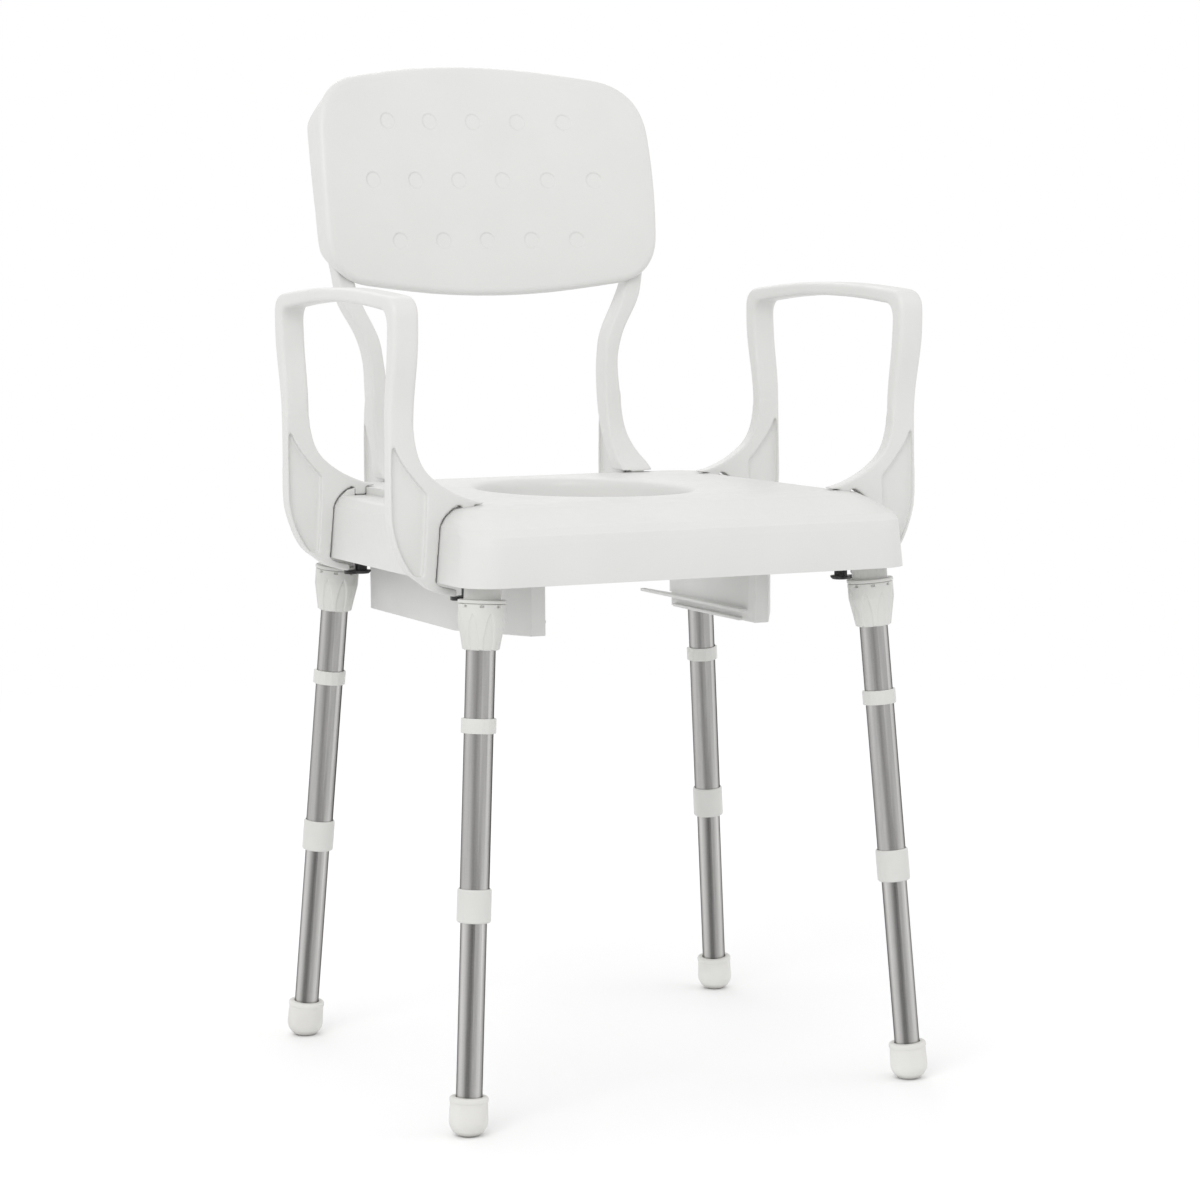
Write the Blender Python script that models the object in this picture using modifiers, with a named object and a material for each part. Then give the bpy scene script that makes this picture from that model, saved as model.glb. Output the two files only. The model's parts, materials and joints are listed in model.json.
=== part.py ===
"""Height-adjustable shower chair: moulded seat with an open centre, hook-on arms and back, telescopic legs.

Metres, +Z up. The chair faces -Y and is symmetric about X = 0. The seat is drawn about its own centre, and an
empty then sets the whole chair so that the origin is at the middle of its footprint box, on the floor.
"""

import math

import bmesh
import bpy
from mathutils import Matrix, Vector

# Seat: its skirt is the reference for all that hooks on to it or stands under it.
SEAT_HALF_WIDTH = 0.2365
SEAT_HALF_DEPTH = 0.235
SKIRT_BOTTOM = 0.5165
SEAT_RISE = 0.0715
SEAT_WALL = 0.0035
SEAT_CORNER = 0.035
SHOULDER_DROP = 0.0080
APERTURE_CENTRE_Y = 0.035
APERTURE_HALF_WIDTH = 0.100
APERTURE_HALF_DEPTH = 0.140
APERTURE_FLARE = 0.020
CHUTE_DEPTH = 0.030
GROOVE_OUTER = 0.0262
GROOVE_WIDTH = 0.0131
GROOVE_DEPTH = 0.0084

# Hooks of the arms and the back uprights, which clasp the seat's edge.
HOOK_THICKNESS = 0.0152
HOOK_REACH = 0.0473
HOOK_POCKET = 0.0040
ARM_HOOK_Y = 0.1454
BACK_HOOK_X = 0.1388
HOOK_GAP = 0.0005

# Armrests.
ARM_WIDTH = 0.0266
ARM_TOP = 0.2060
ARM_BAR = 0.0135
ARM_POST = 0.0145
ARM_HEAD = 0.0175
ARM_SHOULDER = 0.0230

# Backrest panel and its uprights.
PANEL_TOP = 0.4417
PANEL_HEIGHT = 0.2495
PANEL_HALF_WIDTH = 0.1955
PANEL_SKIN = 0.0035
PANEL_SET_BACK = 0.0267
PANEL_LEAN = 0.1819
PANEL_LEAN_GROWTH = 0.5327
PANEL_BOW = 0.0282
PANEL_BOW_SPAN = 0.190
PANEL_BOW_GROWTH = 0.1125
PANEL_MIDDLE = 0.3120
PANEL_RIM_DEEP = 0.0325
PANEL_RIM_GROWTH = 0.105
PANEL_RIM_SHALLOW = 0.0085
PANEL_RIM_LOW = 0.022
PANEL_RIM_FADE = 0.028
PANEL_TOP_RADIUS = 0.75
PANEL_BOTTOM_RADIUS = 0.90
PANEL_TOP_CORNER = 0.045
PANEL_BOTTOM_CORNER = 0.036
PANEL_EDGE = 0.006
UPRIGHT_DEPTH = 0.024
UPRIGHT_TOP_DROP = 0.075
PANEL_GAP = 0.0005
UPRIGHT_CLEARANCE = 0.0020

# Legs, measured at the skirt's height and at the floor.
LEG_INSET_X = {"front": 0.0294, "rear": 0.0270}
LEG_INSET_Y = {"front": 0.0419, "rear": 0.0440}
LEG_SPLAY_X = {"front": 0.0326, "rear": 0.0358}
LEG_SPLAY_Y = {"front": 0.0278, "rear": 0.0325}
OUTER_TUBE_DIAMETER = 0.028
OUTER_TUBE_WALL = 0.0012
INNER_TUBE_DIAMETER = 0.025
INNER_TUBE_WALL = 0.0015
OUTER_TUBE_LENGTH = 0.354
SOCKET_DIAMETER = 0.035
SOCKET_DEPTH = 0.050
FLANGE_DIAMETER = 0.046
FLANGE_THICKNESS = 0.0035
FLANGE_DROP = 0.0135
NUT_LENGTH = 0.0435
NUT_TOP_DIAMETER = 0.0450
NUT_BOTTOM_DIAMETER = 0.0350
NUT_FLUTES = 12
NUT_FLUTE_DEPTH = 0.0012
CLIP_DROP = 0.1318
CLIP_HEIGHT = 0.0143
CLIP_WALL = 0.0021
CLIP_ARM = 0.0050
CLIP_PIN_DIAMETER = 0.006
CLIP_PIN_REACH = 0.0060
CLIP_TRAVEL = 0.012
COLLAR_DIAMETER = 0.0325
COLLAR_HEIGHT = 0.032
COLLAR_LIP = 0.010
HOLE_PITCH = 0.025
HOLE_COUNT = 7
FOOT_DIAMETER = 0.0373
FOOT_HEIGHT = 0.0370
FOOT_FLOOR = 0.008
FOOT_LIP = 0.0025
FOOT_DOME = 0.0155
FOOT_WEAR = 0.0012
FIT = 0.0003

# Turn latches that lock the hooks from below.
LATCH_KNOB_DIAMETER = 0.021
LATCH_KNOB_HEIGHT = 0.012
LATCH_TAB = 0.0035
LATCH_REACH = 0.0175
LATCH_STUD_DIAMETER = 0.006
LATCH_STUD_LENGTH = 0.016
LATCH_INSET = 0.0345
BOSS_WALL = 0.003

# Rails for a pan under the open centre.
RAIL_INNER_X = 0.1143
RAIL_FRONT_Y = -0.128
RAIL_FRONT_WIDTH = 0.0150
RAIL_OUTER_X = 0.176
RAIL_BEND_Y = -0.0435
RAIL_REAR_Y = 0.1875
RAIL_INNER_REAR_Y = 0.0625
RAIL_DROP = 0.060
RAIL_WALL = 0.003
RAIL_LEDGE = 0.0085
RAIL_LEDGE_TAIL = 0.058
RAIL_LEDGE_RISE = 0.0115
RAIL_FLANGE = 0.014
RAIL_LUG_LENGTH = 0.015
RAIL_LUG_DIAMETER = 0.011
SCREW_HEAD_DIAMETER = 0.0075
SCREW_DIAMETER = 0.0035
SCREW_HEAD_HEIGHT = 0.0022
SCREW_LENGTH = 0.012

ROUND_STEPS = 20
BOSS_STEPS = 16
SMALL_STEPS = 8

SEAT_TOP = SKIRT_BOTTOM + SEAT_RISE
DECK_UNDER = SEAT_TOP - SEAT_WALL
RAIL_TOP = DECK_UNDER - RAIL_LUG_LENGTH - FIT

MATERIALS = {
    "white_polypropylene": ((0.80, 0.80, 0.79, 1), 0.45, 0),
    "white_nylon": ((0.83, 0.83, 0.82, 1), 0.38, 0),
    "anodised_aluminium": ((0.42, 0.42, 0.43, 1), 0.38, 1),
    "white_rubber": ((0.78, 0.78, 0.77, 1), 0.60, 0),
    "black_nylon": ((0.02, 0.02, 0.02, 1), 0.45, 0),
    "stainless_steel": ((0.55, 0.55, 0.56, 1), 0.30, 1),
}


def clear_scene():
    for obj in list(bpy.data.objects):
        bpy.data.objects.remove(obj, do_unlink=True)


def make_collection(name, hidden=False):
    collection = bpy.data.collections.new(name)
    collection.hide_render = hidden
    bpy.context.scene.collection.children.link(collection)
    return collection


def make_materials():
    made = {}
    for name, (colour, roughness, metallic) in MATERIALS.items():
        material = bpy.data.materials.new(name)
        material.use_nodes = True
        shader = material.node_tree.nodes["Principled BSDF"]
        shader.inputs["Base Color"].default_value = colour
        shader.inputs["Roughness"].default_value = roughness
        shader.inputs["Metallic"].default_value = metallic
        made[name] = material
    return made


clear_scene()
CHAIR = make_collection("shower_chair")
CUTTERS = make_collection("cutters", hidden=True)
SKINS = make_materials()


def add_object(name, mesh, material=None, parent=None):
    """A piece with a material, or a cutter without one."""
    obj = bpy.data.objects.new(name, mesh)
    if material is None:
        CUTTERS.objects.link(obj)
        obj.hide_render = True
        obj.display_type = "WIRE"
    else:
        CHAIR.objects.link(obj)
        mesh.materials.append(SKINS[material])
    obj.parent = parent
    return obj


def add_empty(name, location, parent=None, rotation=None):
    empty = bpy.data.objects.new(name, None)
    CHAIR.objects.link(empty)
    empty.empty_display_size = 0.03
    empty.parent = parent
    empty.location = location
    if rotation is not None:
        empty.rotation_mode = "QUATERNION"
        empty.rotation_quaternion = rotation
    return empty


def bake(obj):
    """The object's evaluated mesh in place of its modifiers, so that it can take more cuts."""
    bpy.context.view_layer.update()
    graph = bpy.context.evaluated_depsgraph_get()
    mesh = bpy.data.meshes.new_from_object(obj.evaluated_get(graph))
    obj.modifiers.clear()
    obj.data = mesh
    return obj


def combine(obj, others, operation):
    """Boolean each helper with the object, in the object's own parent space, and remove the helper."""
    for other in others:
        other.parent = obj.parent
        modifier = obj.modifiers.new(operation.lower(), "BOOLEAN")
        modifier.operation = operation
        modifier.object = other
        bake(obj)
        bpy.data.objects.remove(other, do_unlink=True)
    return obj


def cut(obj, *others):
    return combine(obj, others, "DIFFERENCE")


def join(obj, *others):
    return combine(obj, others, "UNION")


def shade_smooth(obj, angle=math.radians(35)):
    obj.data.shade_smooth()
    obj.data.set_sharp_from_angle(angle=angle)
    return obj


def rounded(corners, steps=4):
    """An outline from corners (u, v) or (u, v, radius), each radius becoming an arc that is tangent to both sides."""
    outline = []
    for index, corner in enumerate(corners):
        here = Vector(corner[:2])
        radius = corner[2] if len(corner) > 2 else 0
        before = (Vector(corners[index - 1][:2]) - here).normalized()
        after = (Vector(corners[(index + 1) % len(corners)][:2]) - here).normalized()
        opening = before.angle(after)
        if radius == 0 or opening > math.radians(178):
            outline.append(tuple(here))
            continue
        reach = radius / math.tan(opening / 2)
        centre = here + (before + after).normalized() * (radius / math.sin(opening / 2))
        start = here + before * reach - centre
        turn = start.angle_signed(here + after * reach - centre)
        for step in range(steps + 1):
            angle = -turn * step / steps
            spoke = Matrix.Rotation(angle, 2) @ start
            outline.append(tuple(centre + spoke))
    return outline


def plate(name, outlines, thickness, frame, material=None, parent=None):
    """A flat sheet: 2D outlines extruded both ways, turned into a welded mesh and set by the frame matrix."""
    curve = bpy.data.curves.new(name, "CURVE")
    curve.dimensions = "2D"
    curve.fill_mode = "BOTH"
    curve.extrude = thickness / 2
    for outline in outlines:
        spline = curve.splines.new("POLY")
        spline.points.add(len(outline) - 1)
        spline.use_cyclic_u = True
        for point, (u, v) in zip(spline.points, outline):
            point.co = (u, v, 0, 1)
    guide = bpy.data.objects.new(name, curve)
    bpy.context.scene.collection.objects.link(guide)
    bpy.context.view_layer.update()
    graph = bpy.context.evaluated_depsgraph_get()
    mesh = bpy.data.meshes.new_from_object(guide.evaluated_get(graph))
    bpy.data.objects.remove(guide, do_unlink=True)
    shape = bmesh.new()
    shape.from_mesh(mesh)
    bmesh.ops.remove_doubles(shape, verts=shape.verts, dist=0.00001)
    bmesh.ops.transform(shape, matrix=frame, verts=shape.verts)
    bmesh.ops.recalc_face_normals(shape, faces=shape.faces)
    shape.to_mesh(mesh)
    shape.free()
    return add_object(name, mesh, material, parent)


def frame_xz(y):
    """Plate frame with u along +X, v along +Z and the thickness along Y."""
    return Matrix(((1, 0, 0, 0), (0, 0, -1, y), (0, 1, 0, 0), (0, 0, 0, 1)))


def frame_yz(x):
    """Plate frame with u along +Y, v along +Z and the thickness along X."""
    return Matrix(((0, 0, 1, x), (1, 0, 0, 0), (0, 1, 0, 0), (0, 0, 0, 1)))


def frame_xy(z):
    """Plate frame with u along +X, v along +Y and the thickness along Z."""
    return Matrix.Translation((0, 0, z))


def loft(name, rings, material=None, parent=None):
    """A skin through rings of equal point counts, for sections that no primitive joins."""
    shape = bmesh.new()
    rows = [[shape.verts.new(point) for point in ring] for ring in rings]
    for lower, upper in zip(rows, rows[1:]):
        for index in range(len(lower)):
            following = (index + 1) % len(lower)
            shape.faces.new((lower[index], lower[following], upper[following], upper[index]))
    shape.faces.new(list(reversed(rows[0])))
    shape.faces.new(rows[-1])
    bmesh.ops.recalc_face_normals(shape, faces=shape.faces)
    mesh = bpy.data.meshes.new(name)
    shape.to_mesh(mesh)
    shape.free()
    return add_object(name, mesh, material, parent)


def turned(name, profile, material=None, parent=None, steps=ROUND_STEPS, closed=True):
    """A Screw of a profile of (radius, z), listed down its outer side and, when closed, up its inner side."""
    mesh = bpy.data.meshes.new(name)
    ends = [(index, index + 1) for index in range(len(profile) - 1)]
    if closed:
        ends.append((len(profile) - 1, 0))
    mesh.from_pydata([(radius, 0, z) for radius, z in profile], ends, [])
    obj = add_object(name, mesh, material, parent)
    screw = obj.modifiers.new("turn", "SCREW")
    screw.steps = steps
    screw.render_steps = steps
    screw.use_merge_vertices = True
    screw.merge_threshold = 0.00001
    return shade_smooth(bake(obj))


def box(name, low, high):
    """A block between two corners, as a helper to join or cut."""
    shape = bmesh.new()
    bmesh.ops.create_cube(shape, size=1)
    low, high = Vector(low), Vector(high)
    bmesh.ops.scale(shape, vec=high - low, verts=shape.verts)
    bmesh.ops.translate(shape, vec=(low + high) / 2, verts=shape.verts)
    mesh = bpy.data.meshes.new(name)
    shape.to_mesh(mesh)
    shape.free()
    return add_object(name, mesh)


def rod(name, diameter, start, end, steps=SMALL_STEPS):
    """A solid cylinder between two points, as a helper to join or cut."""
    start, end = Vector(start), Vector(end)
    span = end - start
    shape = bmesh.new()
    bmesh.ops.create_cone(
        shape, cap_ends=True, segments=steps, radius1=diameter / 2, radius2=diameter / 2, depth=span.length
    )
    turn = span.to_track_quat("Z", "Y").to_matrix().to_4x4()
    bmesh.ops.transform(shape, matrix=Matrix.Translation((start + end) / 2) @ turn, verts=shape.verts)
    mesh = bpy.data.meshes.new(name)
    shape.to_mesh(mesh)
    shape.free()
    return add_object(name, mesh)


def mirrored(source, name, parent):
    """The same piece on the other side of X = 0."""
    shape = bmesh.new()
    shape.from_mesh(source.data)
    bmesh.ops.scale(shape, vec=(-1, 1, 1), verts=shape.verts)
    bmesh.ops.reverse_faces(shape, faces=shape.faces)
    mesh = bpy.data.meshes.new(name)
    shape.to_mesh(mesh)
    shape.free()
    obj = bpy.data.objects.new(name, mesh)
    CHAIR.objects.link(obj)
    obj.parent = parent
    for material in source.data.materials:
        if material.name not in mesh.materials:
            mesh.materials.append(material)
    return obj


# ---------------------------------------------------------------- legs


def leg_line(end, side):
    """The leg's axis: its points at the floor and at the skirt's height, in the seat's frame."""
    fore = -1 if end == "front" else 1
    x = SEAT_HALF_WIDTH - LEG_INSET_X[end]
    y = SEAT_HALF_DEPTH - LEG_INSET_Y[end]
    skirt = Vector((side * x, fore * y, SKIRT_BOTTOM))
    floor = Vector((side * (x + LEG_SPLAY_X[end]), fore * (y + LEG_SPLAY_Y[end]), 0))
    return floor, skirt


def leg_empty(name, end, side, root):
    """An empty at the leg's floor point: Z runs up the leg and -Y faces the front, where the clip is pulled."""
    floor, skirt = leg_line(end, side)
    up = (skirt - floor).normalized()
    across = Vector((0, 1, 0)).cross(up).normalized()
    turn = Matrix((across, up.cross(across), up)).transposed().to_quaternion()
    return add_empty(name, floor, root, turn)


def leg_length(end):
    floor, skirt = leg_line(end, 1)
    return (skirt - floor).length


def make_socket(name, leg, length):
    """The fixed moulding that fills the seat's boss, with a flange under the skirt."""
    bore = OUTER_TUBE_DIAMETER / 2 + FIT
    flange_top = length - FLANGE_DROP
    flange_bottom = flange_top - FLANGE_THICKNESS
    neck = SOCKET_DIAMETER / 2
    top = length + SOCKET_DEPTH
    profile = [
        (neck, top),
        (neck, flange_top),
        (FLANGE_DIAMETER / 2, flange_top),
        (FLANGE_DIAMETER / 2, flange_bottom),
        (bore, flange_bottom),
        (bore, top),
    ]
    return turned(name, profile, "white_nylon", leg)


def make_nut(name, leg, length):
    """The fluted grip below the flange."""
    top = length - FLANGE_DROP - FLANGE_THICKNESS - FIT
    bottom = top - NUT_LENGTH
    steps = NUT_FLUTES * 3

    def fluted(radius, z):
        ring = []
        for step in range(steps):
            angle = 2 * math.pi * step / steps
            reach = radius - NUT_FLUTE_DEPTH * (1 - math.cos(NUT_FLUTES * angle)) / 2
            ring.append((reach * math.cos(angle), reach * math.sin(angle), z))
        return ring

    obj = loft(
        name,
        [
            fluted(NUT_BOTTOM_DIAMETER / 2, bottom),
            fluted(NUT_TOP_DIAMETER / 2, top - NUT_LENGTH * 0.35),
            fluted(NUT_TOP_DIAMETER / 2, top),
        ],
        "white_nylon",
        leg,
    )
    bore = rod("nut_bore", OUTER_TUBE_DIAMETER + 2 * FIT, (0, 0, bottom - 0.01), (0, 0, top + 0.01), ROUND_STEPS)
    return cut(obj, bore)


def pin_height(length):
    """Height of the clip's pin on the leg's axis."""
    return length - CLIP_DROP


def front_holes(obj, diameter, reach, heights):
    """Holes through the front wall of a tube, at -Y of the leg."""
    for height in heights:
        cut(obj, rod("drill", diameter, (0, 0, height), (0, -reach, height), 8))


def make_outer_tube(name, leg, length):
    outer = OUTER_TUBE_DIAMETER / 2
    inner = outer - OUTER_TUBE_WALL
    top = length + SOCKET_DEPTH - 0.003
    bottom = top - OUTER_TUBE_LENGTH
    profile = [(outer, top), (outer, bottom), (inner, bottom), (inner, top)]
    obj = turned(name, profile, "anodised_aluminium", leg)
    front_holes(obj, CLIP_PIN_DIAMETER + 2 * FIT, outer + 0.01, [pin_height(length)])
    return shade_smooth(obj)


def make_clip(name, leg, length):
    """A U round the outer tube, open to the rear, with a pin that enters both tubes at the front."""
    height = pin_height(length)
    inner = OUTER_TUBE_DIAMETER / 2 + FIT
    outer = inner + CLIP_WALL
    outline = [(outer, CLIP_ARM)]
    arc = 8
    for step in range(arc + 1):
        angle = -math.pi * step / arc
        outline.append((outer * math.cos(angle), outer * math.sin(angle)))
    outline.append((-outer, CLIP_ARM))
    outline.append((-inner, CLIP_ARM))
    for step in range(2 * arc + 1):
        angle = -math.pi * (1 - step / (2 * arc))
        outline.append((inner * math.cos(angle), inner * math.sin(angle)))
    outline.append((inner, CLIP_ARM))
    obj = plate(name, [outline], CLIP_HEIGHT, frame_xy(height), "white_nylon", leg)
    tip = -(inner - CLIP_PIN_REACH)
    pin = rod("pin", CLIP_PIN_DIAMETER, (0, tip, height), (0, -(outer - CLIP_WALL / 2), height), 8)
    return join(obj, pin)


def make_collar(name, leg, length):
    """The guide at the outer tube's lower end: it seats the tube and leads the inner one."""
    tube_end = length + SOCKET_DEPTH - 0.003 - OUTER_TUBE_LENGTH
    bottom = tube_end - COLLAR_LIP
    top = bottom + COLLAR_HEIGHT
    wide = OUTER_TUBE_DIAMETER / 2 + FIT
    narrow = INNER_TUBE_DIAMETER / 2 + FIT
    outer = COLLAR_DIAMETER / 2
    chamfer = 0.0012
    profile = [
        (outer - chamfer, top),
        (outer, top - chamfer),
        (outer, bottom + chamfer),
        (outer - chamfer, bottom),
        (narrow, bottom),
        (narrow, tube_end - FIT),
        (wide, tube_end - FIT),
        (wide, top),
    ]
    return turned(name, profile, "white_nylon", leg)


def make_inner_tube(name, leg, length):
    outer = INNER_TUBE_DIAMETER / 2
    inner = outer - INNER_TUBE_WALL
    top = pin_height(length) + HOLE_PITCH * 0.6
    bottom = FOOT_FLOOR
    profile = [(outer, top), (outer, bottom), (inner, bottom), (inner, top)]
    obj = turned(name, profile, "anodised_aluminium", leg)
    heights = [pin_height(length) - HOLE_PITCH * index for index in range(HOLE_COUNT)]
    front_holes(obj, CLIP_PIN_DIAMETER + 2 * FIT, outer + 0.01, heights)
    return shade_smooth(obj)


def make_foot(name, leg):
    """A rubber cup with a domed base, cut level where it meets the floor."""
    outer = FOOT_DIAMETER / 2
    bore = INNER_TUBE_DIAMETER / 2 + FIT
    profile = [(outer - FOOT_LIP, FOOT_HEIGHT), (outer, FOOT_HEIGHT - FOOT_LIP)]
    base = -FOOT_WEAR
    for step in range(5):
        angle = math.pi / 2 * step / 4
        out = outer - FOOT_DOME + FOOT_DOME * math.cos(angle)
        profile.append((out, base + FOOT_DOME * (1 - math.sin(angle))))
    profile += [(0, base), (0, FOOT_FLOOR - FIT), (bore, FOOT_FLOOR - FIT), (bore, FOOT_HEIGHT)]
    obj = turned(name, profile, "white_rubber", leg)
    below = box("below_floor", (-0.1, -0.1, -0.1), (0.1, 0.1, 0))
    below.data.transform(leg.rotation_quaternion.to_matrix().to_4x4().inverted())
    return shade_smooth(cut(obj, below))


def make_leg(end, side_name, side, root):
    name = f"{end}_{side_name}"
    leg = leg_empty(f"{name}_leg", end, side, root)
    length = leg_length(end)
    bpy.context.view_layer.update()
    make_socket(f"{name}_leg_socket", leg, length)
    make_nut(f"{name}_grip_nut", leg, length)
    make_outer_tube(f"{name}_outer_tube", leg, length)
    make_clip(f"{name}_height_clip", leg, length)
    make_collar(f"{name}_guide_collar", leg, length)
    make_inner_tube(f"{name}_inner_tube", leg, length)
    make_foot(f"{name}_foot", leg)


# ---------------------------------------------------------------- seat

# Each station: rise as a share of SEAT_RISE, then how far the side and rear wall, and the front wall, stand in.
SEAT_STATIONS = (
    (0.000, 0.0000, 0.0000),
    (0.538, 0.0033, 0.0018),
    (0.650, 0.0040, 0.0026),
    (0.741, 0.0048, 0.0125),
    (0.853, 0.0098, 0.0350),
    (0.962, 0.0187, 0.0590),
    (1.000, 0.0300, 0.0750),
)
CORNER_STEPS = 5


def seat_ring(inset, front_inset, z, shrink=0.0):
    """A rounded rectangle of the seat, its front side standing in by its own amount."""
    half = SEAT_HALF_WIDTH - inset - shrink
    front = -SEAT_HALF_DEPTH + front_inset + shrink
    rear = SEAT_HALF_DEPTH - inset - shrink
    radius = max(SEAT_CORNER - shrink, 0.005)
    ring = []
    for sx, sy, first in ((1, 1, 0), (-1, 1, 1), (-1, -1, 2), (1, -1, 3)):
        centre = Vector((sx * (half - radius), rear - radius if sy > 0 else front + radius))
        for step in range(CORNER_STEPS + 1):
            angle = math.pi / 2 * (first + step / CORNER_STEPS)
            ring.append((centre.x + radius * math.cos(angle), centre.y + radius * math.sin(angle), z))
    return ring


def oval_ring(grow, z, steps=32):
    """The open centre's outline, grown by a distance."""
    ring = []
    for step in range(steps):
        angle = 2 * math.pi * step / steps
        x = (APERTURE_HALF_WIDTH + grow) * math.cos(angle)
        y = APERTURE_CENTRE_Y + (APERTURE_HALF_DEPTH + grow) * math.sin(angle)
        ring.append((x, y, z))
    return ring


def hook_places():
    """Centre lines of the six hooks: the edge they clasp, the side of it and the place along it."""
    for side in (-1, 1):
        yield "side", side, -ARM_HOOK_Y
        yield "side", side, ARM_HOOK_Y
        yield "rear", side, side * BACK_HOOK_X


def edge_box(name, edge, side, along, width, inner, outer, low, high):
    """A box set by distances in from the seat's edge, along it and up."""
    if edge == "side":
        xs = sorted((side * (SEAT_HALF_WIDTH - inner), side * (SEAT_HALF_WIDTH - outer)))
        return box(name, (xs[0], along - width / 2, low), (xs[1], along + width / 2, high))
    ys = sorted((SEAT_HALF_DEPTH - inner, SEAT_HALF_DEPTH - outer))
    return box(name, (along - width / 2, ys[0], low), (along + width / 2, ys[1], high))


def edge_cuts(grow):
    """Grooves for the hooks' lips and the lowered shoulder between them, grown for the hollow's own roof."""
    inner = GROOVE_OUTER + GROOVE_WIDTH + grow
    above = SEAT_TOP + 0.03
    groove = SEAT_TOP - GROOVE_DEPTH - grow
    shelf = SEAT_TOP - SHOULDER_DROP - grow
    cuts = []
    for edge, side, along in hook_places():
        width = HOOK_THICKNESS + 2 * HOOK_GAP + 2 * grow
        outer = GROOVE_OUTER - grow
        cuts.append(edge_box("groove", edge, side, along, width, inner, outer, groove, above))
    for side in (-1, 1):
        width = 2 * ARM_HOOK_Y - HOOK_THICKNESS + 2 * grow
        cuts.append(edge_box("shelf", "side", side, 0, width, inner, -0.01, shelf, above))
    return cuts


def latch_places():
    """Pivot of each latch, in from the hook's edge, and the direction of its tab."""
    for side, side_name in ((-1, "left"), (1, "right")):
        x = side * (SEAT_HALF_WIDTH - LATCH_INSET)
        yield f"front_{side_name}_arm_latch", Vector((x, -ARM_HOOK_Y, 0)), Vector((side, 0, 0))
        yield f"rear_{side_name}_arm_latch", Vector((x, ARM_HOOK_Y, 0)), Vector((side, 0, 0))
        y = SEAT_HALF_DEPTH - LATCH_INSET
        yield f"{side_name}_back_latch", Vector((side * BACK_HOOK_X, y, 0)), Vector((0, 1, 0))


def seat_bosses():
    """Solid posts that the hollow leaves standing: round each leg's socket, each latch's stud and each rail screw."""
    above = SEAT_TOP + 0.01
    posts = []
    for end in ("front", "rear"):
        for side in (-1, 1):
            floor, skirt = leg_line(end, side)
            axis = (skirt - floor).normalized()
            diameter = SOCKET_DIAMETER + 2 * (FIT + BOSS_WALL)
            posts.append(rod("leg_boss", diameter, skirt + axis * 0.006, skirt + axis * 0.09, BOSS_STEPS))
    for _, pivot, _ in latch_places():
        diameter = LATCH_STUD_DIAMETER + 2 * (FIT + BOSS_WALL)
        low = pivot + Vector((0, 0, SKIRT_BOTTOM))
        posts.append(rod("latch_boss", diameter, low, pivot + Vector((0, 0, above)), SMALL_STEPS))
    for side in (-1, 1):
        for x, y in rail_screw_places():
            low = Vector((side * x, y, RAIL_TOP + FIT))
            posts.append(rod("lug", RAIL_LUG_DIAMETER, low, (side * x, y, above), SMALL_STEPS))
    return posts


def seat_bores():
    """Blind holes in the bosses, for the sockets, the studs and the rail screws."""
    holes = []
    for end in ("front", "rear"):
        for side in (-1, 1):
            floor, skirt = leg_line(end, side)
            axis = (skirt - floor).normalized()
            bore = SOCKET_DIAMETER + 2 * FIT
            roof = skirt + axis * (SOCKET_DEPTH + FIT)
            holes.append(rod("leg_bore", bore, skirt - axis * 0.02, roof, ROUND_STEPS))
    for _, pivot, _ in latch_places():
        bore = LATCH_STUD_DIAMETER + 2 * FIT
        low = pivot + Vector((0, 0, SKIRT_BOTTOM - 0.01))
        roof = pivot + Vector((0, 0, SKIRT_BOTTOM + LATCH_STUD_LENGTH + FIT))
        holes.append(rod("latch_bore", bore, low, roof, SMALL_STEPS))
    for side in (-1, 1):
        for x, y in rail_screw_places():
            low = Vector((side * x, y, RAIL_TOP - 0.005))
            roof = Vector((side * x, y, RAIL_TOP + SCREW_LENGTH))
            holes.append(rod("screw_bore", SCREW_DIAMETER + 2 * FIT, low, roof, 8))
    return holes


def make_seat(root):
    """A hollow moulding: an outer shape less an inner one, which itself leaves the bosses and the chute standing."""
    outer = [seat_ring(inset, front, SKIRT_BOTTOM + rise * SEAT_RISE) for rise, inset, front in SEAT_STATIONS]
    seat = loft("seat_shell", outer, "white_polypropylene", root)
    cut(seat, *edge_cuts(0))

    hollow_rings = [seat_ring(0, 0, SKIRT_BOTTOM - 0.01, SEAT_WALL)]
    for rise, inset, front in SEAT_STATIONS[:-1]:
        hollow_rings.append(seat_ring(inset, front, SKIRT_BOTTOM + rise * (SEAT_RISE - SEAT_WALL), SEAT_WALL))
    hollow_rings.append(seat_ring(SEAT_STATIONS[-1][1], SEAT_STATIONS[-1][2], DECK_UNDER, SEAT_WALL))
    chute_rings = [
        oval_ring(SEAT_WALL, DECK_UNDER - CHUTE_DEPTH),
        oval_ring(SEAT_WALL, SEAT_TOP - 0.024),
        oval_ring(SEAT_WALL + APERTURE_FLARE * 0.5, SEAT_TOP - 0.009),
        oval_ring(SEAT_WALL + APERTURE_FLARE * 0.9, SEAT_TOP - SEAT_WALL * 0.7),
        oval_ring(SEAT_WALL + APERTURE_FLARE * 0.9, SEAT_TOP + 0.01),
    ]
    hollow = loft("seat_hollow", hollow_rings)
    cut(hollow, *edge_cuts(SEAT_WALL), loft("chute", chute_rings), *seat_bosses())

    flare = ((0.0, -CHUTE_DEPTH - 0.02), (0.0, -0.024), (0.15, -0.012), (0.5, -0.005), (1.0, 0.0), (1.05, 0.02))
    aperture = loft("aperture", [oval_ring(APERTURE_FLARE * share, SEAT_TOP + drop) for share, drop in flare])
    return cut(seat, hollow, aperture, *seat_bores())


# ---------------------------------------------------------------- hooks, arms and back


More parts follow.
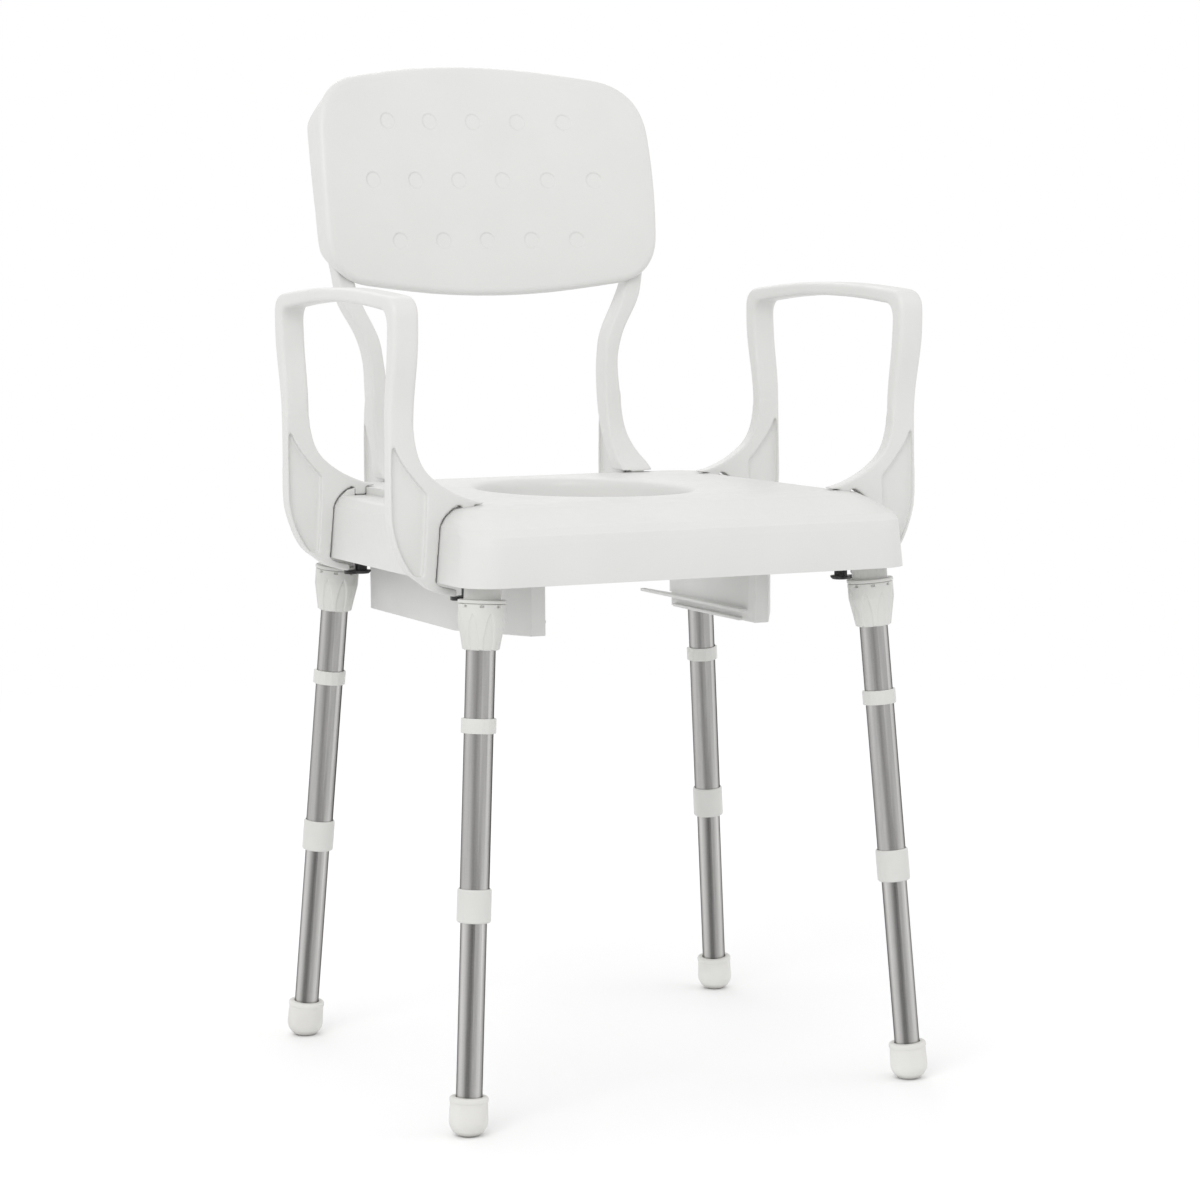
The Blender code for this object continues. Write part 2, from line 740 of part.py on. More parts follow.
def hook_outline(branch, head):
    """The clasp's outline as (distance out from the skirt's edge, height).

    branch lists the upper edge of the arm that reaches over the seat, and head the outline above it.
    """
    top, low = SEAT_TOP, SKIRT_BOTTOM
    reach = HOOK_REACH
    groove_mid = -(GROOVE_OUTER + GROOVE_WIDTH / 2)
    half_lip = GROOVE_WIDTH / 2 - HOOK_GAP
    lip_low = top - GROOVE_DEPTH + HOOK_GAP
    gap = HOOK_GAP + 0.0003
    outside = [
        (reach, top - 0.003),
        (reach - 0.0015, low + 0.050),
        (reach - 0.0097, low + 0.0251),
        (reach - 0.0190, low + 0.0090),
        (reach - 0.0334, low - 0.0011),
        (0.0060, low - 0.0080),
        (-0.0145, low - 0.0140, 0.002),
        (-0.0200, low - 0.0145, 0.002),
        (-0.0200, low - 0.0075, 0.002),
        (-0.0060, low - 0.0045),
        (gap + 0.0010, low - 0.0005),
        (gap, low + 0.0050),
    ]
    inside = [
        (gap - 0.0033, low + 0.0385),
        (gap - 0.0040, low + 0.0465),
        (gap - 0.0048 + 0.0006, low + 0.0530),
        (gap - 0.0098 + 0.0012, low + 0.0610 + 0.0008),
        (-0.0187 + 0.0012, top - 0.0027 + gap + 0.0006),
        (-(GROOVE_OUTER - 0.0038), top + 0.0002 + gap),
        (groove_mid + half_lip, top + gap * 0.5),
        (groove_mid + half_lip, lip_low, 0.0012),
        (groove_mid - half_lip, lip_low, 0.0012),
        (groove_mid - half_lip, top + gap),
    ]
    return list(head) + outside + inside + list(branch)


def pocket_outline():
    """The recess in each face of a clasp, beside the rib."""
    top, low = SEAT_TOP, SKIRT_BOTTOM
    reach = HOOK_REACH
    return [
        (reach - 0.0030, top + 0.066),
        (reach - 0.0110, top + 0.046),
        (reach - 0.0218, top + 0.0315),
        (reach - 0.0302, top + 0.0213),
        (reach - 0.0383, top + 0.0125, 0.002),
        (0.0105, top - 0.028),
        (0.0140, low + 0.0055, 0.0015),
        (reach - 0.0238, low + 0.0075, 0.0015),
        (reach - 0.0113, low + 0.0270),
        (reach - 0.0043, low + 0.0505),
        (reach - 0.0030, top - 0.003),
    ]


def place_from(edge, outline):
    """Distances out from the skirt's edge, turned into places from the seat's centre."""
    return [(edge + point[0],) + tuple(point[1:]) for point in outline]


def arm_branch():
    top = SEAT_TOP
    return [
        (-0.0495, top + gap_over_deck(), 0.0008),
        (-0.0488, top + 0.0028, 0.0008),
        (-0.0388, top + 0.0045),
        (-0.0227, top + 0.0105),
        (-0.0070, top + 0.0190),
        (0.0090, top + 0.0320),
        (0.0165, top + 0.0450),
        (0.0205, top + 0.0620),
        (0.0210, top + 0.0770),
    ]


def gap_over_deck():
    """Clearance under the hooks' toes, over the seat's deck and the slight rise beside the groove."""
    return HOOK_GAP + 0.0008


def arm_loop_outline():
    """The handle seen from the side: an inverted U with an outline that narrows to a waist above the seat."""
    top = SEAT_TOP + ARM_TOP
    low = SEAT_TOP - 0.003
    waist = ARM_HOOK_Y + 0.0066
    outer = [
        (waist, low),
        (waist, SEAT_TOP + 0.077),
        (waist + 0.0025, SEAT_TOP + 0.097),
        (waist + 0.0075, SEAT_TOP + 0.117),
        (waist + 0.0130, SEAT_TOP + 0.137),
        (waist + 0.0165, SEAT_TOP + 0.157),
        (waist + 0.0165, top - 0.0085, ARM_SHOULDER),
        (0.075, top - 0.0015),
        (0.0, top),
    ]
    inner = [
        (0.0, top - ARM_BAR),
        (0.075, top - ARM_BAR - 0.0025),
        (waist + 0.0165 - ARM_HEAD - 0.0015, top - ARM_BAR - 0.0090, ARM_SHOULDER - 0.006),
        (waist - 0.0055, SEAT_TOP + 0.142),
        (waist - 0.0105, SEAT_TOP + 0.112),
        (waist - ARM_POST + 0.0015, SEAT_TOP + 0.080),
        (waist - ARM_POST + 0.0010, SEAT_TOP + 0.045),
        (waist - ARM_POST + 0.0010, low),
    ]
    right = outer[:-1] + [outer[-1]]
    left = [(-point[0],) + tuple(point[1:]) for point in reversed(outer[:-1])]
    inner_left = [(-point[0],) + tuple(point[1:]) for point in reversed(inner[1:])]
    return rounded(right + left + inner_left + inner, 4)


def make_armrest(name, root):
    """The right armrest: a handle, two clasps and their recesses, joined as one moulding."""
    centre = SEAT_HALF_WIDTH + HOOK_REACH - ARM_WIDTH / 2
    arm = plate(name, [arm_loop_outline()], ARM_WIDTH, frame_yz(centre), "white_polypropylene", root)
    top = SEAT_TOP
    head = [(0.0210, top + 0.095), (HOOK_REACH - 0.0002, top + 0.095)]
    outline = rounded(place_from(SEAT_HALF_WIDTH, hook_outline(arm_branch(), head)), 3)
    pocket = rounded(place_from(SEAT_HALF_WIDTH, pocket_outline()), 3)
    clasps, recesses = [], []
    for end in (-1, 1):
        clasps.append(plate("clasp", [outline], HOOK_THICKNESS, frame_xz(end * ARM_HOOK_Y)))
        for face in (-1, 1):
            middle = end * ARM_HOOK_Y + face * HOOK_THICKNESS / 2
            recesses.append(plate("recess", [pocket], 2 * HOOK_POCKET, frame_xz(middle)))
    join(arm, *clasps)
    return cut(arm, *recesses)


def panel_front(x, height):
    """Y of the backrest panel's front face, at a height above the seat's top."""
    t = height - PANEL_MIDDLE
    side = PANEL_LEAN * t + PANEL_LEAN_GROWTH * t * t
    bow = PANEL_BOW + PANEL_BOW_GROWTH * t
    return SEAT_HALF_DEPTH + PANEL_SET_BACK + side + bow * (1 - (x / PANEL_BOW_SPAN) ** 2)


def panel_outline():
    """The panel's outline as (x, height above the seat's top), with crowned top and bottom edges."""
    half = PANEL_HALF_WIDTH
    top = PANEL_TOP
    bottom = PANEL_TOP - PANEL_HEIGHT
    top_corner = top - half**2 / (2 * PANEL_TOP_RADIUS) + 0.004
    bottom_corner = bottom + half**2 / (2 * PANEL_BOTTOM_RADIUS) - 0.003
    xs = [half * share for share in (0.0, 0.2, 0.4, 0.6, 0.75)]
    upper = [(x, top - x * x / (2 * PANEL_TOP_RADIUS)) for x in xs]
    lower = [(x, bottom + x * x / (2 * PANEL_BOTTOM_RADIUS)) for x in reversed(xs)]
    right = upper + [(half - 0.0065, top_corner, PANEL_TOP_CORNER), (half - 0.0018, top - 0.100)]
    right += [(half, top - 0.155), (half - 0.0010, top - 0.190)]
    right += [(half - 0.0045, bottom_corner, PANEL_BOTTOM_CORNER)] + lower
    left = [(-point[0],) + tuple(point[1:]) for point in reversed(right[1:-1])]
    return rounded(list(reversed(right + left)), 5)


def smooth_step(value):
    value = min(max(value, 0), 1)
    return value * value * (3 - 2 * value)


def panel_rim(x, height):
    """Depth of the panel's edge wall: deep down the sides, shallow along the top and bottom."""
    bottom = PANEL_TOP - PANEL_HEIGHT
    rise = smooth_step((height - bottom - PANEL_RIM_LOW) / PANEL_RIM_FADE)
    shoulder = PANEL_TOP - PANEL_HALF_WIDTH**2 / (2 * PANEL_TOP_RADIUS) - PANEL_TOP_CORNER
    fall = 1 - smooth_step((height - shoulder) / (PANEL_TOP_CORNER * 0.8))
    side = smooth_step((abs(x) - PANEL_HALF_WIDTH * 0.62) / (PANEL_HALF_WIDTH * 0.33))
    deep = PANEL_RIM_DEEP + PANEL_RIM_GROWTH * max(0.0, height - PANEL_MIDDLE + 0.030)
    return PANEL_RIM_SHALLOW + (deep - PANEL_RIM_SHALLOW) * rise * side * fall


def make_panel(root):
    """A bowed skin with its edge turned back, made as an open surface and given its thickness by Solidify."""
    outline = [Vector(point) for point in panel_outline()]
    count = len(outline)
    middle = Vector((0, PANEL_TOP - PANEL_HEIGHT / 2))
    rings = []
    for share in (0.25, 0.6):
        ring = [middle + (point - middle) * share for point in outline]
        rings.append([(p.x, panel_front(p.x, p.y), SEAT_TOP + p.y) for p in ring])
    for step in range(3):
        angle = math.pi / 2 * step / 2
        inset = PANEL_EDGE * (1 - math.sin(angle))
        back = PANEL_EDGE * (1 - math.cos(angle))
        ring = []
        for index, point in enumerate(outline):
            along = outline[(index + 1) % count] - outline[index - 1]
            inward = Vector((-along.y, along.x)).normalized()
            if inward.dot(middle - point) < 0:
                inward = -inward
            p = point + inward * inset
            ring.append((p.x, panel_front(p.x, p.y) + back, SEAT_TOP + p.y))
        rings.append(ring)
    rings.append([(p.x, panel_front(p.x, p.y) + panel_rim(p.x, p.y), SEAT_TOP + p.y) for p in outline])

    shape = bmesh.new()
    rows = [[shape.verts.new(point) for point in ring] for ring in rings]
    shape.faces.new(rows[0])
    for inner, outer in zip(rows, rows[1:]):
        for index in range(count):
            following = (index + 1) % count
            shape.faces.new((inner[index], inner[following], outer[following], outer[index]))
    bmesh.ops.recalc_face_normals(shape, faces=shape.faces)
    if shape.faces[0].normal.y > 0:
        bmesh.ops.reverse_faces(shape, faces=shape.faces)
    mesh = bpy.data.meshes.new("backrest_panel")
    shape.to_mesh(mesh)
    shape.free()
    panel = add_object("backrest_panel", mesh, "white_polypropylene", root)
    shell = panel.modifiers.new("wall", "SOLIDIFY")
    shell.thickness = PANEL_SKIN
    shell.offset = -1
    shell.use_even_offset = True
    return shade_smooth(bake(panel))


# Each station of the right upright: height above the seat's top, then its outer and inner side out from the
# hook's centre line, and its front face back from the seat's rear edge.
UPRIGHT_STATIONS = (
    (0.0022, 0.0175, -0.0172, -0.0420),
    (0.0050, 0.0174, -0.0170, -0.0400),
    (0.0120, 0.0170, -0.0168, -0.0270),
    (0.0220, 0.0129, -0.0151, -0.0129),
    (0.0370, 0.0096, -0.0135, 0.0015),
    (0.0520, 0.0082, -0.0125, 0.0097),
    (0.0670, 0.0078, -0.0121, 0.0138),
    (0.0820, 0.0075, -0.0116, 0.0159),
    (0.0970, 0.0069, -0.0109, 0.0184),
    (0.1120, 0.0066, -0.0102, 0.0204),
    (0.1270, 0.0076, -0.0085, 0.0218),
    (0.1420, 0.0114, -0.0067, 0.0226),
    (0.1570, 0.0171, -0.0018, 0.0240),
    (0.1870, 0.0355, 0.0144, 0.0263),
)


def upright_sections():
    """(height, outer x, inner x, front y, rear y) up the right upright, its top running behind the panel."""
    for height, outer, inner, front in UPRIGHT_STATIONS:
        depth = UPRIGHT_DEPTH + max(0.0, 0.020 - height) * 0.6 + 0.004 * smooth_step((height - 0.04) / 0.05)
        rear = SEAT_HALF_DEPTH + front + depth
        yield height, BACK_HOOK_X + outer, BACK_HOOK_X + inner, SEAT_HALF_DEPTH + front, rear
    top = PANEL_TOP - UPRIGHT_TOP_DROP
    bottom = PANEL_TOP - PANEL_HEIGHT
    steps = 5
    for step in range(steps + 1):
        height = bottom + 0.016 + (top - bottom - 0.016) * step / steps
        ease = smooth_step(step / 1.6)
        outer = PANEL_HALF_WIDTH - PANEL_SKIN - PANEL_GAP - 0.0125 + 0.0080 * ease
        inner = outer - 0.0200
        front = panel_front(inner, height) + PANEL_RIM_SHALLOW + UPRIGHT_CLEARANCE
        yield height, outer, inner, front, front + UPRIGHT_DEPTH - 0.004


def upright_branch():
    top = SEAT_TOP
    return [
        (-0.0430, top + gap_over_deck(), 0.0006),
        (-0.0400, top + 0.0030),
        (-0.0240, top + 0.0130),
        (-0.0100, top + 0.0230),
        (0.0040, top + 0.0380),
        (0.0130, top + 0.0540),
        (0.0165, top + 0.0700),
    ]


def make_upright(name, root):
    """The right upright: a flaring column, and a clasp over the seat's rear edge."""
    rings = []
    for height, outer, inner, front, rear in upright_sections():
        z = SEAT_TOP + height
        rings.append([(outer, front, z), (outer, rear, z), (inner, rear, z), (inner, front, z)])
    column = loft(name, rings, "white_polypropylene", root)
    top = SEAT_TOP
    head = [(0.0170, top + 0.0900), (0.0400, top + 0.0900), (HOOK_REACH - 0.0012, top + 0.0560)]
    outline = rounded(place_from(SEAT_HALF_DEPTH, hook_outline(upright_branch(), head)), 3)
    clasp = plate("clasp", [outline], HOOK_THICKNESS, frame_yz(BACK_HOOK_X))
    pocket = rounded(place_from(SEAT_HALF_DEPTH, pocket_outline()), 3)
    recesses = []
    for face in (-1, 1):
        middle = BACK_HOOK_X + face * HOOK_THICKNESS / 2
        recesses.append(plate("recess", [pocket], 2 * HOOK_POCKET, frame_yz(middle)))
    cut(clasp, *recesses)
    return join(column, clasp)


# ---------------------------------------------------------------- latches, rails and screws


def make_latch(name, pivot, tab, root):
    """A knob with a stud up into the seat and a tab under the hook's lip."""
    lip_under = SKIRT_BOTTOM - 0.0145
    tab_top = lip_under - FIT
    knob_bottom = tab_top - LATCH_TAB
    origin = add_empty(f"{name}_pivot", (pivot.x, pivot.y, 0), root)
    radius = LATCH_KNOB_DIAMETER / 2
    round_off = 0.002
    knob_top = SKIRT_BOTTOM - FIT
    profile = [
        (radius - 0.004, knob_top),
        (radius - 0.004, tab_top),
        (radius, tab_top),
        (radius, knob_bottom + round_off),
        (radius - round_off, knob_bottom),
        (0, knob_bottom),
        (0, knob_top),
    ]
    latch = turned(name, profile, "black_nylon", origin)
    half = 0.006
    outline = [(-half, 0), (half, 0), (half, LATCH_REACH, 0.004), (-half, LATCH_REACH, 0.004)]
    turn = Matrix.Rotation(math.atan2(-tab.x, tab.y), 4, "Z")
    frame = turn @ frame_xy((knob_bottom + tab_top) / 2)
    arm = plate("tab", [rounded(outline, 3)], LATCH_TAB, frame)
    stud_top = SKIRT_BOTTOM + LATCH_STUD_LENGTH
    stud = rod("stud", LATCH_STUD_DIAMETER, (0, 0, knob_top - 0.002), (0, 0, stud_top))
    return join(latch, arm, stud)


def rail_screw_places():
    x = RAIL_OUTER_X - RAIL_WALL - RAIL_FLANGE / 2
    for y in (RAIL_BEND_Y + 0.03, RAIL_REAR_Y - 0.03):
        yield x, y


def make_rail(name, root):
    """The right pan rail: a folded wall hung from the deck, with two ledges that carry the pan's rim."""
    bottom = SKIRT_BOTTOM - RAIL_DROP
    top = RAIL_TOP
    height = top - bottom
    wall = RAIL_WALL
    plan = [
        (RAIL_INNER_X, RAIL_INNER_REAR_Y),
        (RAIL_INNER_X, RAIL_FRONT_Y),
        (RAIL_INNER_X + RAIL_FRONT_WIDTH, RAIL_FRONT_Y),
        (RAIL_OUTER_X, RAIL_BEND_Y),
        (RAIL_OUTER_X, RAIL_REAR_Y),
        (RAIL_OUTER_X - wall, RAIL_REAR_Y),
        (RAIL_OUTER_X - wall, RAIL_BEND_Y + wall * 0.3),
        (RAIL_INNER_X + RAIL_FRONT_WIDTH - wall * 0.7, RAIL_FRONT_Y + wall),
        (RAIL_INNER_X + wall, RAIL_FRONT_Y + wall),
        (RAIL_INNER_X + wall, RAIL_INNER_REAR_Y),
    ]
    rail = plate(name, [plan], height, frame_xy((top + bottom) / 2), "white_polypropylene", root)

    ledge_z = bottom + RAIL_LEDGE_RISE
    low_z = bottom + wall / 2
    ledge_front = RAIL_FRONT_Y + 0.018
    inner = RAIL_INNER_X
    ledge = [
        (inner - RAIL_LEDGE, ledge_front),
        (inner + wall / 2, ledge_front),
        (inner + wall / 2, RAIL_INNER_REAR_Y - 0.002),
        (inner - 0.003, RAIL_INNER_REAR_Y + RAIL_LEDGE_TAIL),
        (inner - RAIL_LEDGE, RAIL_INNER_REAR_Y + RAIL_LEDGE_TAIL),
    ]
    low_ledge = [
        (inner - RAIL_LEDGE * 0.5, ledge_front + 0.010),
        (inner + wall / 2, ledge_front + 0.010),
        (inner + wall / 2, RAIL_INNER_REAR_Y - 0.012),
        (inner - RAIL_LEDGE * 0.5, RAIL_INNER_REAR_Y - 0.012),
    ]
    flange_front = RAIL_BEND_Y + 0.012
    flange = [
        (RAIL_OUTER_X - wall - RAIL_FLANGE, flange_front),
        (RAIL_OUTER_X - wall / 2, flange_front),
        (RAIL_OUTER_X - wall / 2, RAIL_REAR_Y - 0.004),
        (RAIL_OUTER_X - wall - RAIL_FLANGE, RAIL_REAR_Y - 0.004),
    ]
    return join(
        rail,
        plate("ledge", [ledge], wall, frame_xy(ledge_z)),
        plate("low_ledge", [low_ledge], wall, frame_xy(low_z)),
        plate("flange", [flange], wall, frame_xy(top - wall / 2)),
    )


def drill_rail(rail):
    bore = SCREW_DIAMETER + 2 * FIT
    drills = []
    for x, y in rail_screw_places():
        drills.append(rod("drill", bore, (x, y, RAIL_TOP - 2 * RAIL_WALL), (x, y, RAIL_TOP + 0.01), 8))
    cut(rail, *drills)


def make_screw(name, place, root):
    """A pan-head screw driven upwards."""
    x, y = place
    under = RAIL_TOP - RAIL_WALL - FIT
    head = SCREW_HEAD_DIAMETER / 2
    shank = SCREW_DIAMETER / 2
    profile = [
        (shank, under + SCREW_LENGTH),
        (shank, under),
        (head, under),
        (head, under - SCREW_HEAD_HEIGHT * 0.5),
        (head * 0.6, under - SCREW_HEAD_HEIGHT),
        (0, under - SCREW_HEAD_HEIGHT),
        (0, under + SCREW_LENGTH),
    ]
    screw = turned(name, profile, "stainless_steel", root, SMALL_STEPS)
    screw.location = (x, y, 0)
    return screw


# ---------------------------------------------------------------- assembly


def rear_most():
    """The furthest point back: the crown of the panel's top edge."""
    return panel_front(0, PANEL_TOP) + max(PANEL_RIM_SHALLOW, PANEL_EDGE)


def front_most():
    """The furthest point forward: the front feet or the seat's edge."""
    floor, _ = leg_line("front", 1)
    return min(floor.y - FOOT_DIAMETER / 2, -SEAT_HALF_DEPTH)


def build():
    middle = (front_most() + rear_most()) / 2
    root = add_empty("chair_frame", (0, -middle, 0))
    make_seat(root)
    for end in ("front", "rear"):
        for side, side_name in ((-1, "left"), (1, "right")):
            make_leg(end, side_name, side, root)
    arm = make_armrest("armrest_right", root)
    mirrored(arm, "armrest_left", root)
    upright = make_upright("back_upright_right", root)
    mirrored(upright, "back_upright_left", root)
    make_panel(root)
    rail = make_rail("pan_rail_right", root)
    drill_rail(rail)
    mirrored(rail, "pan_rail_left", root)
    for name, pivot, tab in latch_places():
        make_latch(name, pivot, tab, root)
    for side, side_name in ((-1, "left"), (1, "right")):
        for end, (x, y) in zip(("front", "rear"), rail_screw_places()):
            make_screw(f"{side_name}_rail_screw_{end}", (side * x, y), root)


build()
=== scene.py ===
"""Looks of a height-adjustable shower chair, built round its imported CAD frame.

Every piece is drawn from the CAD nodes' own boxes and the record's joints, in metres, with +Z up.
The chair faces -Y. Fine surfaces replace the faceted CAD solids, and each rides on the body of the
node that it stands for.
"""

import json
import logging
import math
from collections.abc import Iterable, Sequence
from dataclasses import dataclass, field
from enum import Enum

import bmesh
import bpy
import numpy as np
from mathutils import Matrix, Quaternion, Vector

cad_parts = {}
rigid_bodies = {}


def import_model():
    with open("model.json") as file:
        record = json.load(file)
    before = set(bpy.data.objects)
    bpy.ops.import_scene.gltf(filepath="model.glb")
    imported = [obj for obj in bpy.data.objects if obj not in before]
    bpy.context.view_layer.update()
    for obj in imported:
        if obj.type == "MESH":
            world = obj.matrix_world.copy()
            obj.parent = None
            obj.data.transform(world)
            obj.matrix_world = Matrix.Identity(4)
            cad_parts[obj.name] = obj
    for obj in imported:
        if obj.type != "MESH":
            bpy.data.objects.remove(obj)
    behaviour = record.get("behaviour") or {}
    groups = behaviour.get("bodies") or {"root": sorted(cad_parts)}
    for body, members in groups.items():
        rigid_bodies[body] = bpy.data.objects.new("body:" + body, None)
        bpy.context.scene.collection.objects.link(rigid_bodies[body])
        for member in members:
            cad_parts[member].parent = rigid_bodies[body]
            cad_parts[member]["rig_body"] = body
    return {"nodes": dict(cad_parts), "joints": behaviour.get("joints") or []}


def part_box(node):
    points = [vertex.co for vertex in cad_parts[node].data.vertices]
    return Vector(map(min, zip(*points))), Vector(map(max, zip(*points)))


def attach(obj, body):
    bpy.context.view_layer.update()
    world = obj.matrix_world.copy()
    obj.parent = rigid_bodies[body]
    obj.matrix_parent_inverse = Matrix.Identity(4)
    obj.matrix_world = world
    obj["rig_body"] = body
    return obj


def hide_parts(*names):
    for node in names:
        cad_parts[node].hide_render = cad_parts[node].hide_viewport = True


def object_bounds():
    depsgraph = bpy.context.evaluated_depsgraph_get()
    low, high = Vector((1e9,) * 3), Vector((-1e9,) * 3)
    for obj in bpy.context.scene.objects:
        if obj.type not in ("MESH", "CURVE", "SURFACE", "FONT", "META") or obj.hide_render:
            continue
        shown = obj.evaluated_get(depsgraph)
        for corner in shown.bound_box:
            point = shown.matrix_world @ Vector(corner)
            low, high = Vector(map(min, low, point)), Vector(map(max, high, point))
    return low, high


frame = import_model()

LOG = logging.getLogger("shower_chair")
CAD_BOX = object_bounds()
Corner = tuple[float, ...]
MM = 0.001


# ------------------------------------------------------------------ curves


def softened(
    corners: Sequence[Corner], steps: int = 6, closed: bool = True, reach: float = math.inf
) -> np.ndarray:
    """Rounds a polygon's corners with quadratic arcs.

    Args:
        corners: Plane points as (u, v) or (u, v, distance from the corner at which its rounding starts).
        steps: Segments in each rounded corner.
        closed: Whether the last point joins the first.
        reach: Rounding distance of corners that state none; it never passes the middle of an edge.

    Returns:
        An array of points, shape (count, 2).
    """
    places = np.array([corner[:2] for corner in corners], float)
    reaches = [corner[2] if len(corner) > 2 else reach for corner in corners]
    return softened_path(places, reaches, steps, closed)


def softened_path(places: np.ndarray, reaches: Sequence[float], steps: int, closed: bool) -> np.ndarray:
    """The same for points in any number of dimensions.

    Args:
        places: Points, shape (count, dimensions).
        reaches: Rounding distance at each point.
        steps: Segments in each rounded corner.
        closed: Whether the last point joins the first.

    Returns:
        The rounded path, shape (more, dimensions).
    """
    count = len(places)
    share = np.linspace(0, 1, steps + 1)[:, None]
    path = []
    for index, place in enumerate(places):
        if not closed and index in (0, count - 1):
            path.append(place[None])
            continue
        before = places[index - 1] - place
        after = places[(index + 1) % count] - place
        start = place + before * min(reaches[index] / max(np.linalg.norm(before), 1e-9), 0.499)
        end = place + after * min(reaches[index] / max(np.linalg.norm(after), 1e-9), 0.499)
        path.append((1 - share) ** 2 * start + 2 * share * (1 - share) * place + share**2 * end)
    return np.concatenate(path)


def even(outline: np.ndarray, spacing: float) -> np.ndarray:
    """Places points at equal distances round a closed outline, shape (count, 2)."""
    loop = np.vstack([outline, outline[:1]])
    along = np.concatenate([[0], np.cumsum(np.linalg.norm(np.diff(loop, axis=0), axis=1))])
    places = np.linspace(0, along[-1], max(int(along[-1] / spacing), 12), endpoint=False)
    return np.column_stack([np.interp(places, along, loop[:, axis]) for axis in (0, 1)])


def inward_of(outline: np.ndarray) -> np.ndarray:
    """Unit normals of a closed outline that point into it, shape (count, 2)."""
    along = np.roll(outline, -1, axis=0) - np.roll(outline, 1, axis=0)
    inward = np.stack([-along[:, 1], along[:, 0]], axis=1) / np.linalg.norm(along, axis=1, keepdims=True)
    after = np.roll(outline, -1, axis=0)
    area = np.sum(outline[:, 0] * after[:, 1] - after[:, 0] * outline[:, 1])
    return inward * np.sign(area)


def smooth_step(value: np.ndarray | float) -> np.ndarray:
    """Eases from 0 to 1 as the value does, and holds outside."""
    clipped = np.clip(value, 0, 1)
    return clipped * clipped * (3 - 2 * clipped)


def swept(start: float, end: float, count: int) -> np.ndarray:
    """Angles from start to end that leave out the end."""
    return start + (end - start) * np.arange(count) / count


# ------------------------------------------------------------------ meshes


class Plane(Enum):
    """The plane that an outline is drawn in."""

    XY = Matrix(((1, 0, 0, 0), (0, 1, 0, 0), (0, 0, 1, 0), (0, 0, 0, 1)))
    XZ = Matrix(((1, 0, 0, 0), (0, 0, -1, 0), (0, 1, 0, 0), (0, 0, 0, 1)))
    YZ = Matrix(((0, 0, 1, 0), (1, 0, 0, 0), (0, 1, 0, 0), (0, 0, 0, 1)))

    def at(self, distance: float) -> Matrix:
        """The plane's frame, moved along its own normal."""
        return self.value @ Matrix.Translation((0, 0, distance))


def new_object(name: str, mesh: bpy.types.Mesh) -> bpy.types.Object:
    """Links a mesh into the scene as an object at the origin."""
    obj = bpy.data.objects.new(name, mesh)
    bpy.context.scene.collection.objects.link(obj)
    return obj


def surface(
    name: str,
    points: np.ndarray,
    wrap_rows: bool = False,
    cap_ends: bool = False,
    place: Matrix | None = None,
) -> bpy.types.Object:
    """A closed-round grid of quads.

    Args:
        name: Object name.
        points: Shape (rows, columns, 3). Columns always join up.
        wrap_rows: Whether the last row joins the first.
        cap_ends: Whether the first and last rows are closed by a face.
        place: Frame that the points are given in.

    Returns:
        The object, with its faces outwards and its lengths in metres as UVs.
    """
    rows, columns, _ = points.shape
    flat = points.reshape(-1, 3)
    if place is not None:
        turn = np.array(place)
        flat = flat @ turn[:3, :3].T + turn[:3, 3]
    row = np.arange(rows if wrap_rows else rows - 1)[:, None]
    column = np.arange(columns)[None, :]
    above = (row + 1) % rows
    beside = (column + 1) % columns
    low, high = row * columns, above * columns
    quads = np.stack([low + column, low + beside, high + beside, high + column], axis=-1).reshape(-1, 4)
    faces = quads.tolist()
    if cap_ends:
        faces.append(list(range(columns))[::-1])
        faces.append([(rows - 1) * columns + index for index in range(columns)])
    mesh = bpy.data.meshes.new(name)
    mesh.from_pydata(flat.tolist(), [], faces)
    add_lengths(mesh, points, quads, columns)
    obj = new_object(name, mesh)
    face_outwards(obj)
    return obj


def add_lengths(mesh: bpy.types.Mesh, points: np.ndarray, quads: np.ndarray, columns: int) -> None:
    """Writes the distance round and along each quad's corners as UVs, in metres."""
    rows = len(points)
    radius = np.linalg.norm(points - points.mean(axis=1, keepdims=True), axis=2).mean()
    along = np.concatenate([[0], np.cumsum(np.linalg.norm(np.diff(points, axis=0), axis=2).mean(axis=1))])
    row_of = quads // columns
    column_of = (quads % columns).astype(float)
    wrapped = (column_of == 0) & (column_of.max(axis=1, keepdims=True) == columns - 1)
    column_of[wrapped] = columns
    u = column_of / columns * 2 * math.pi * radius
    v = along[np.minimum(row_of, rows - 1)]
    layer = mesh.uv_layers.new(name="lengths")
    values = np.zeros((len(mesh.loops), 2), np.float32)
    values[: quads.size] = np.stack([u, v], axis=-1).reshape(-1, 2)
    layer.data.foreach_set("uv", values.ravel())


def face_outwards(obj: bpy.types.Object) -> None:
    """Turns every face of a closed mesh outwards."""
    shape = bmesh.new()
    shape.from_mesh(obj.data)
    bmesh.ops.recalc_face_normals(shape, faces=shape.faces)
    shape.to_mesh(obj.data)
    shape.free()


# Where the darkest of four painted reflection streaks runs down a turned piece, round from its X axis.
PAINTED_REFLECTION_TURN = math.radians(-114.7)


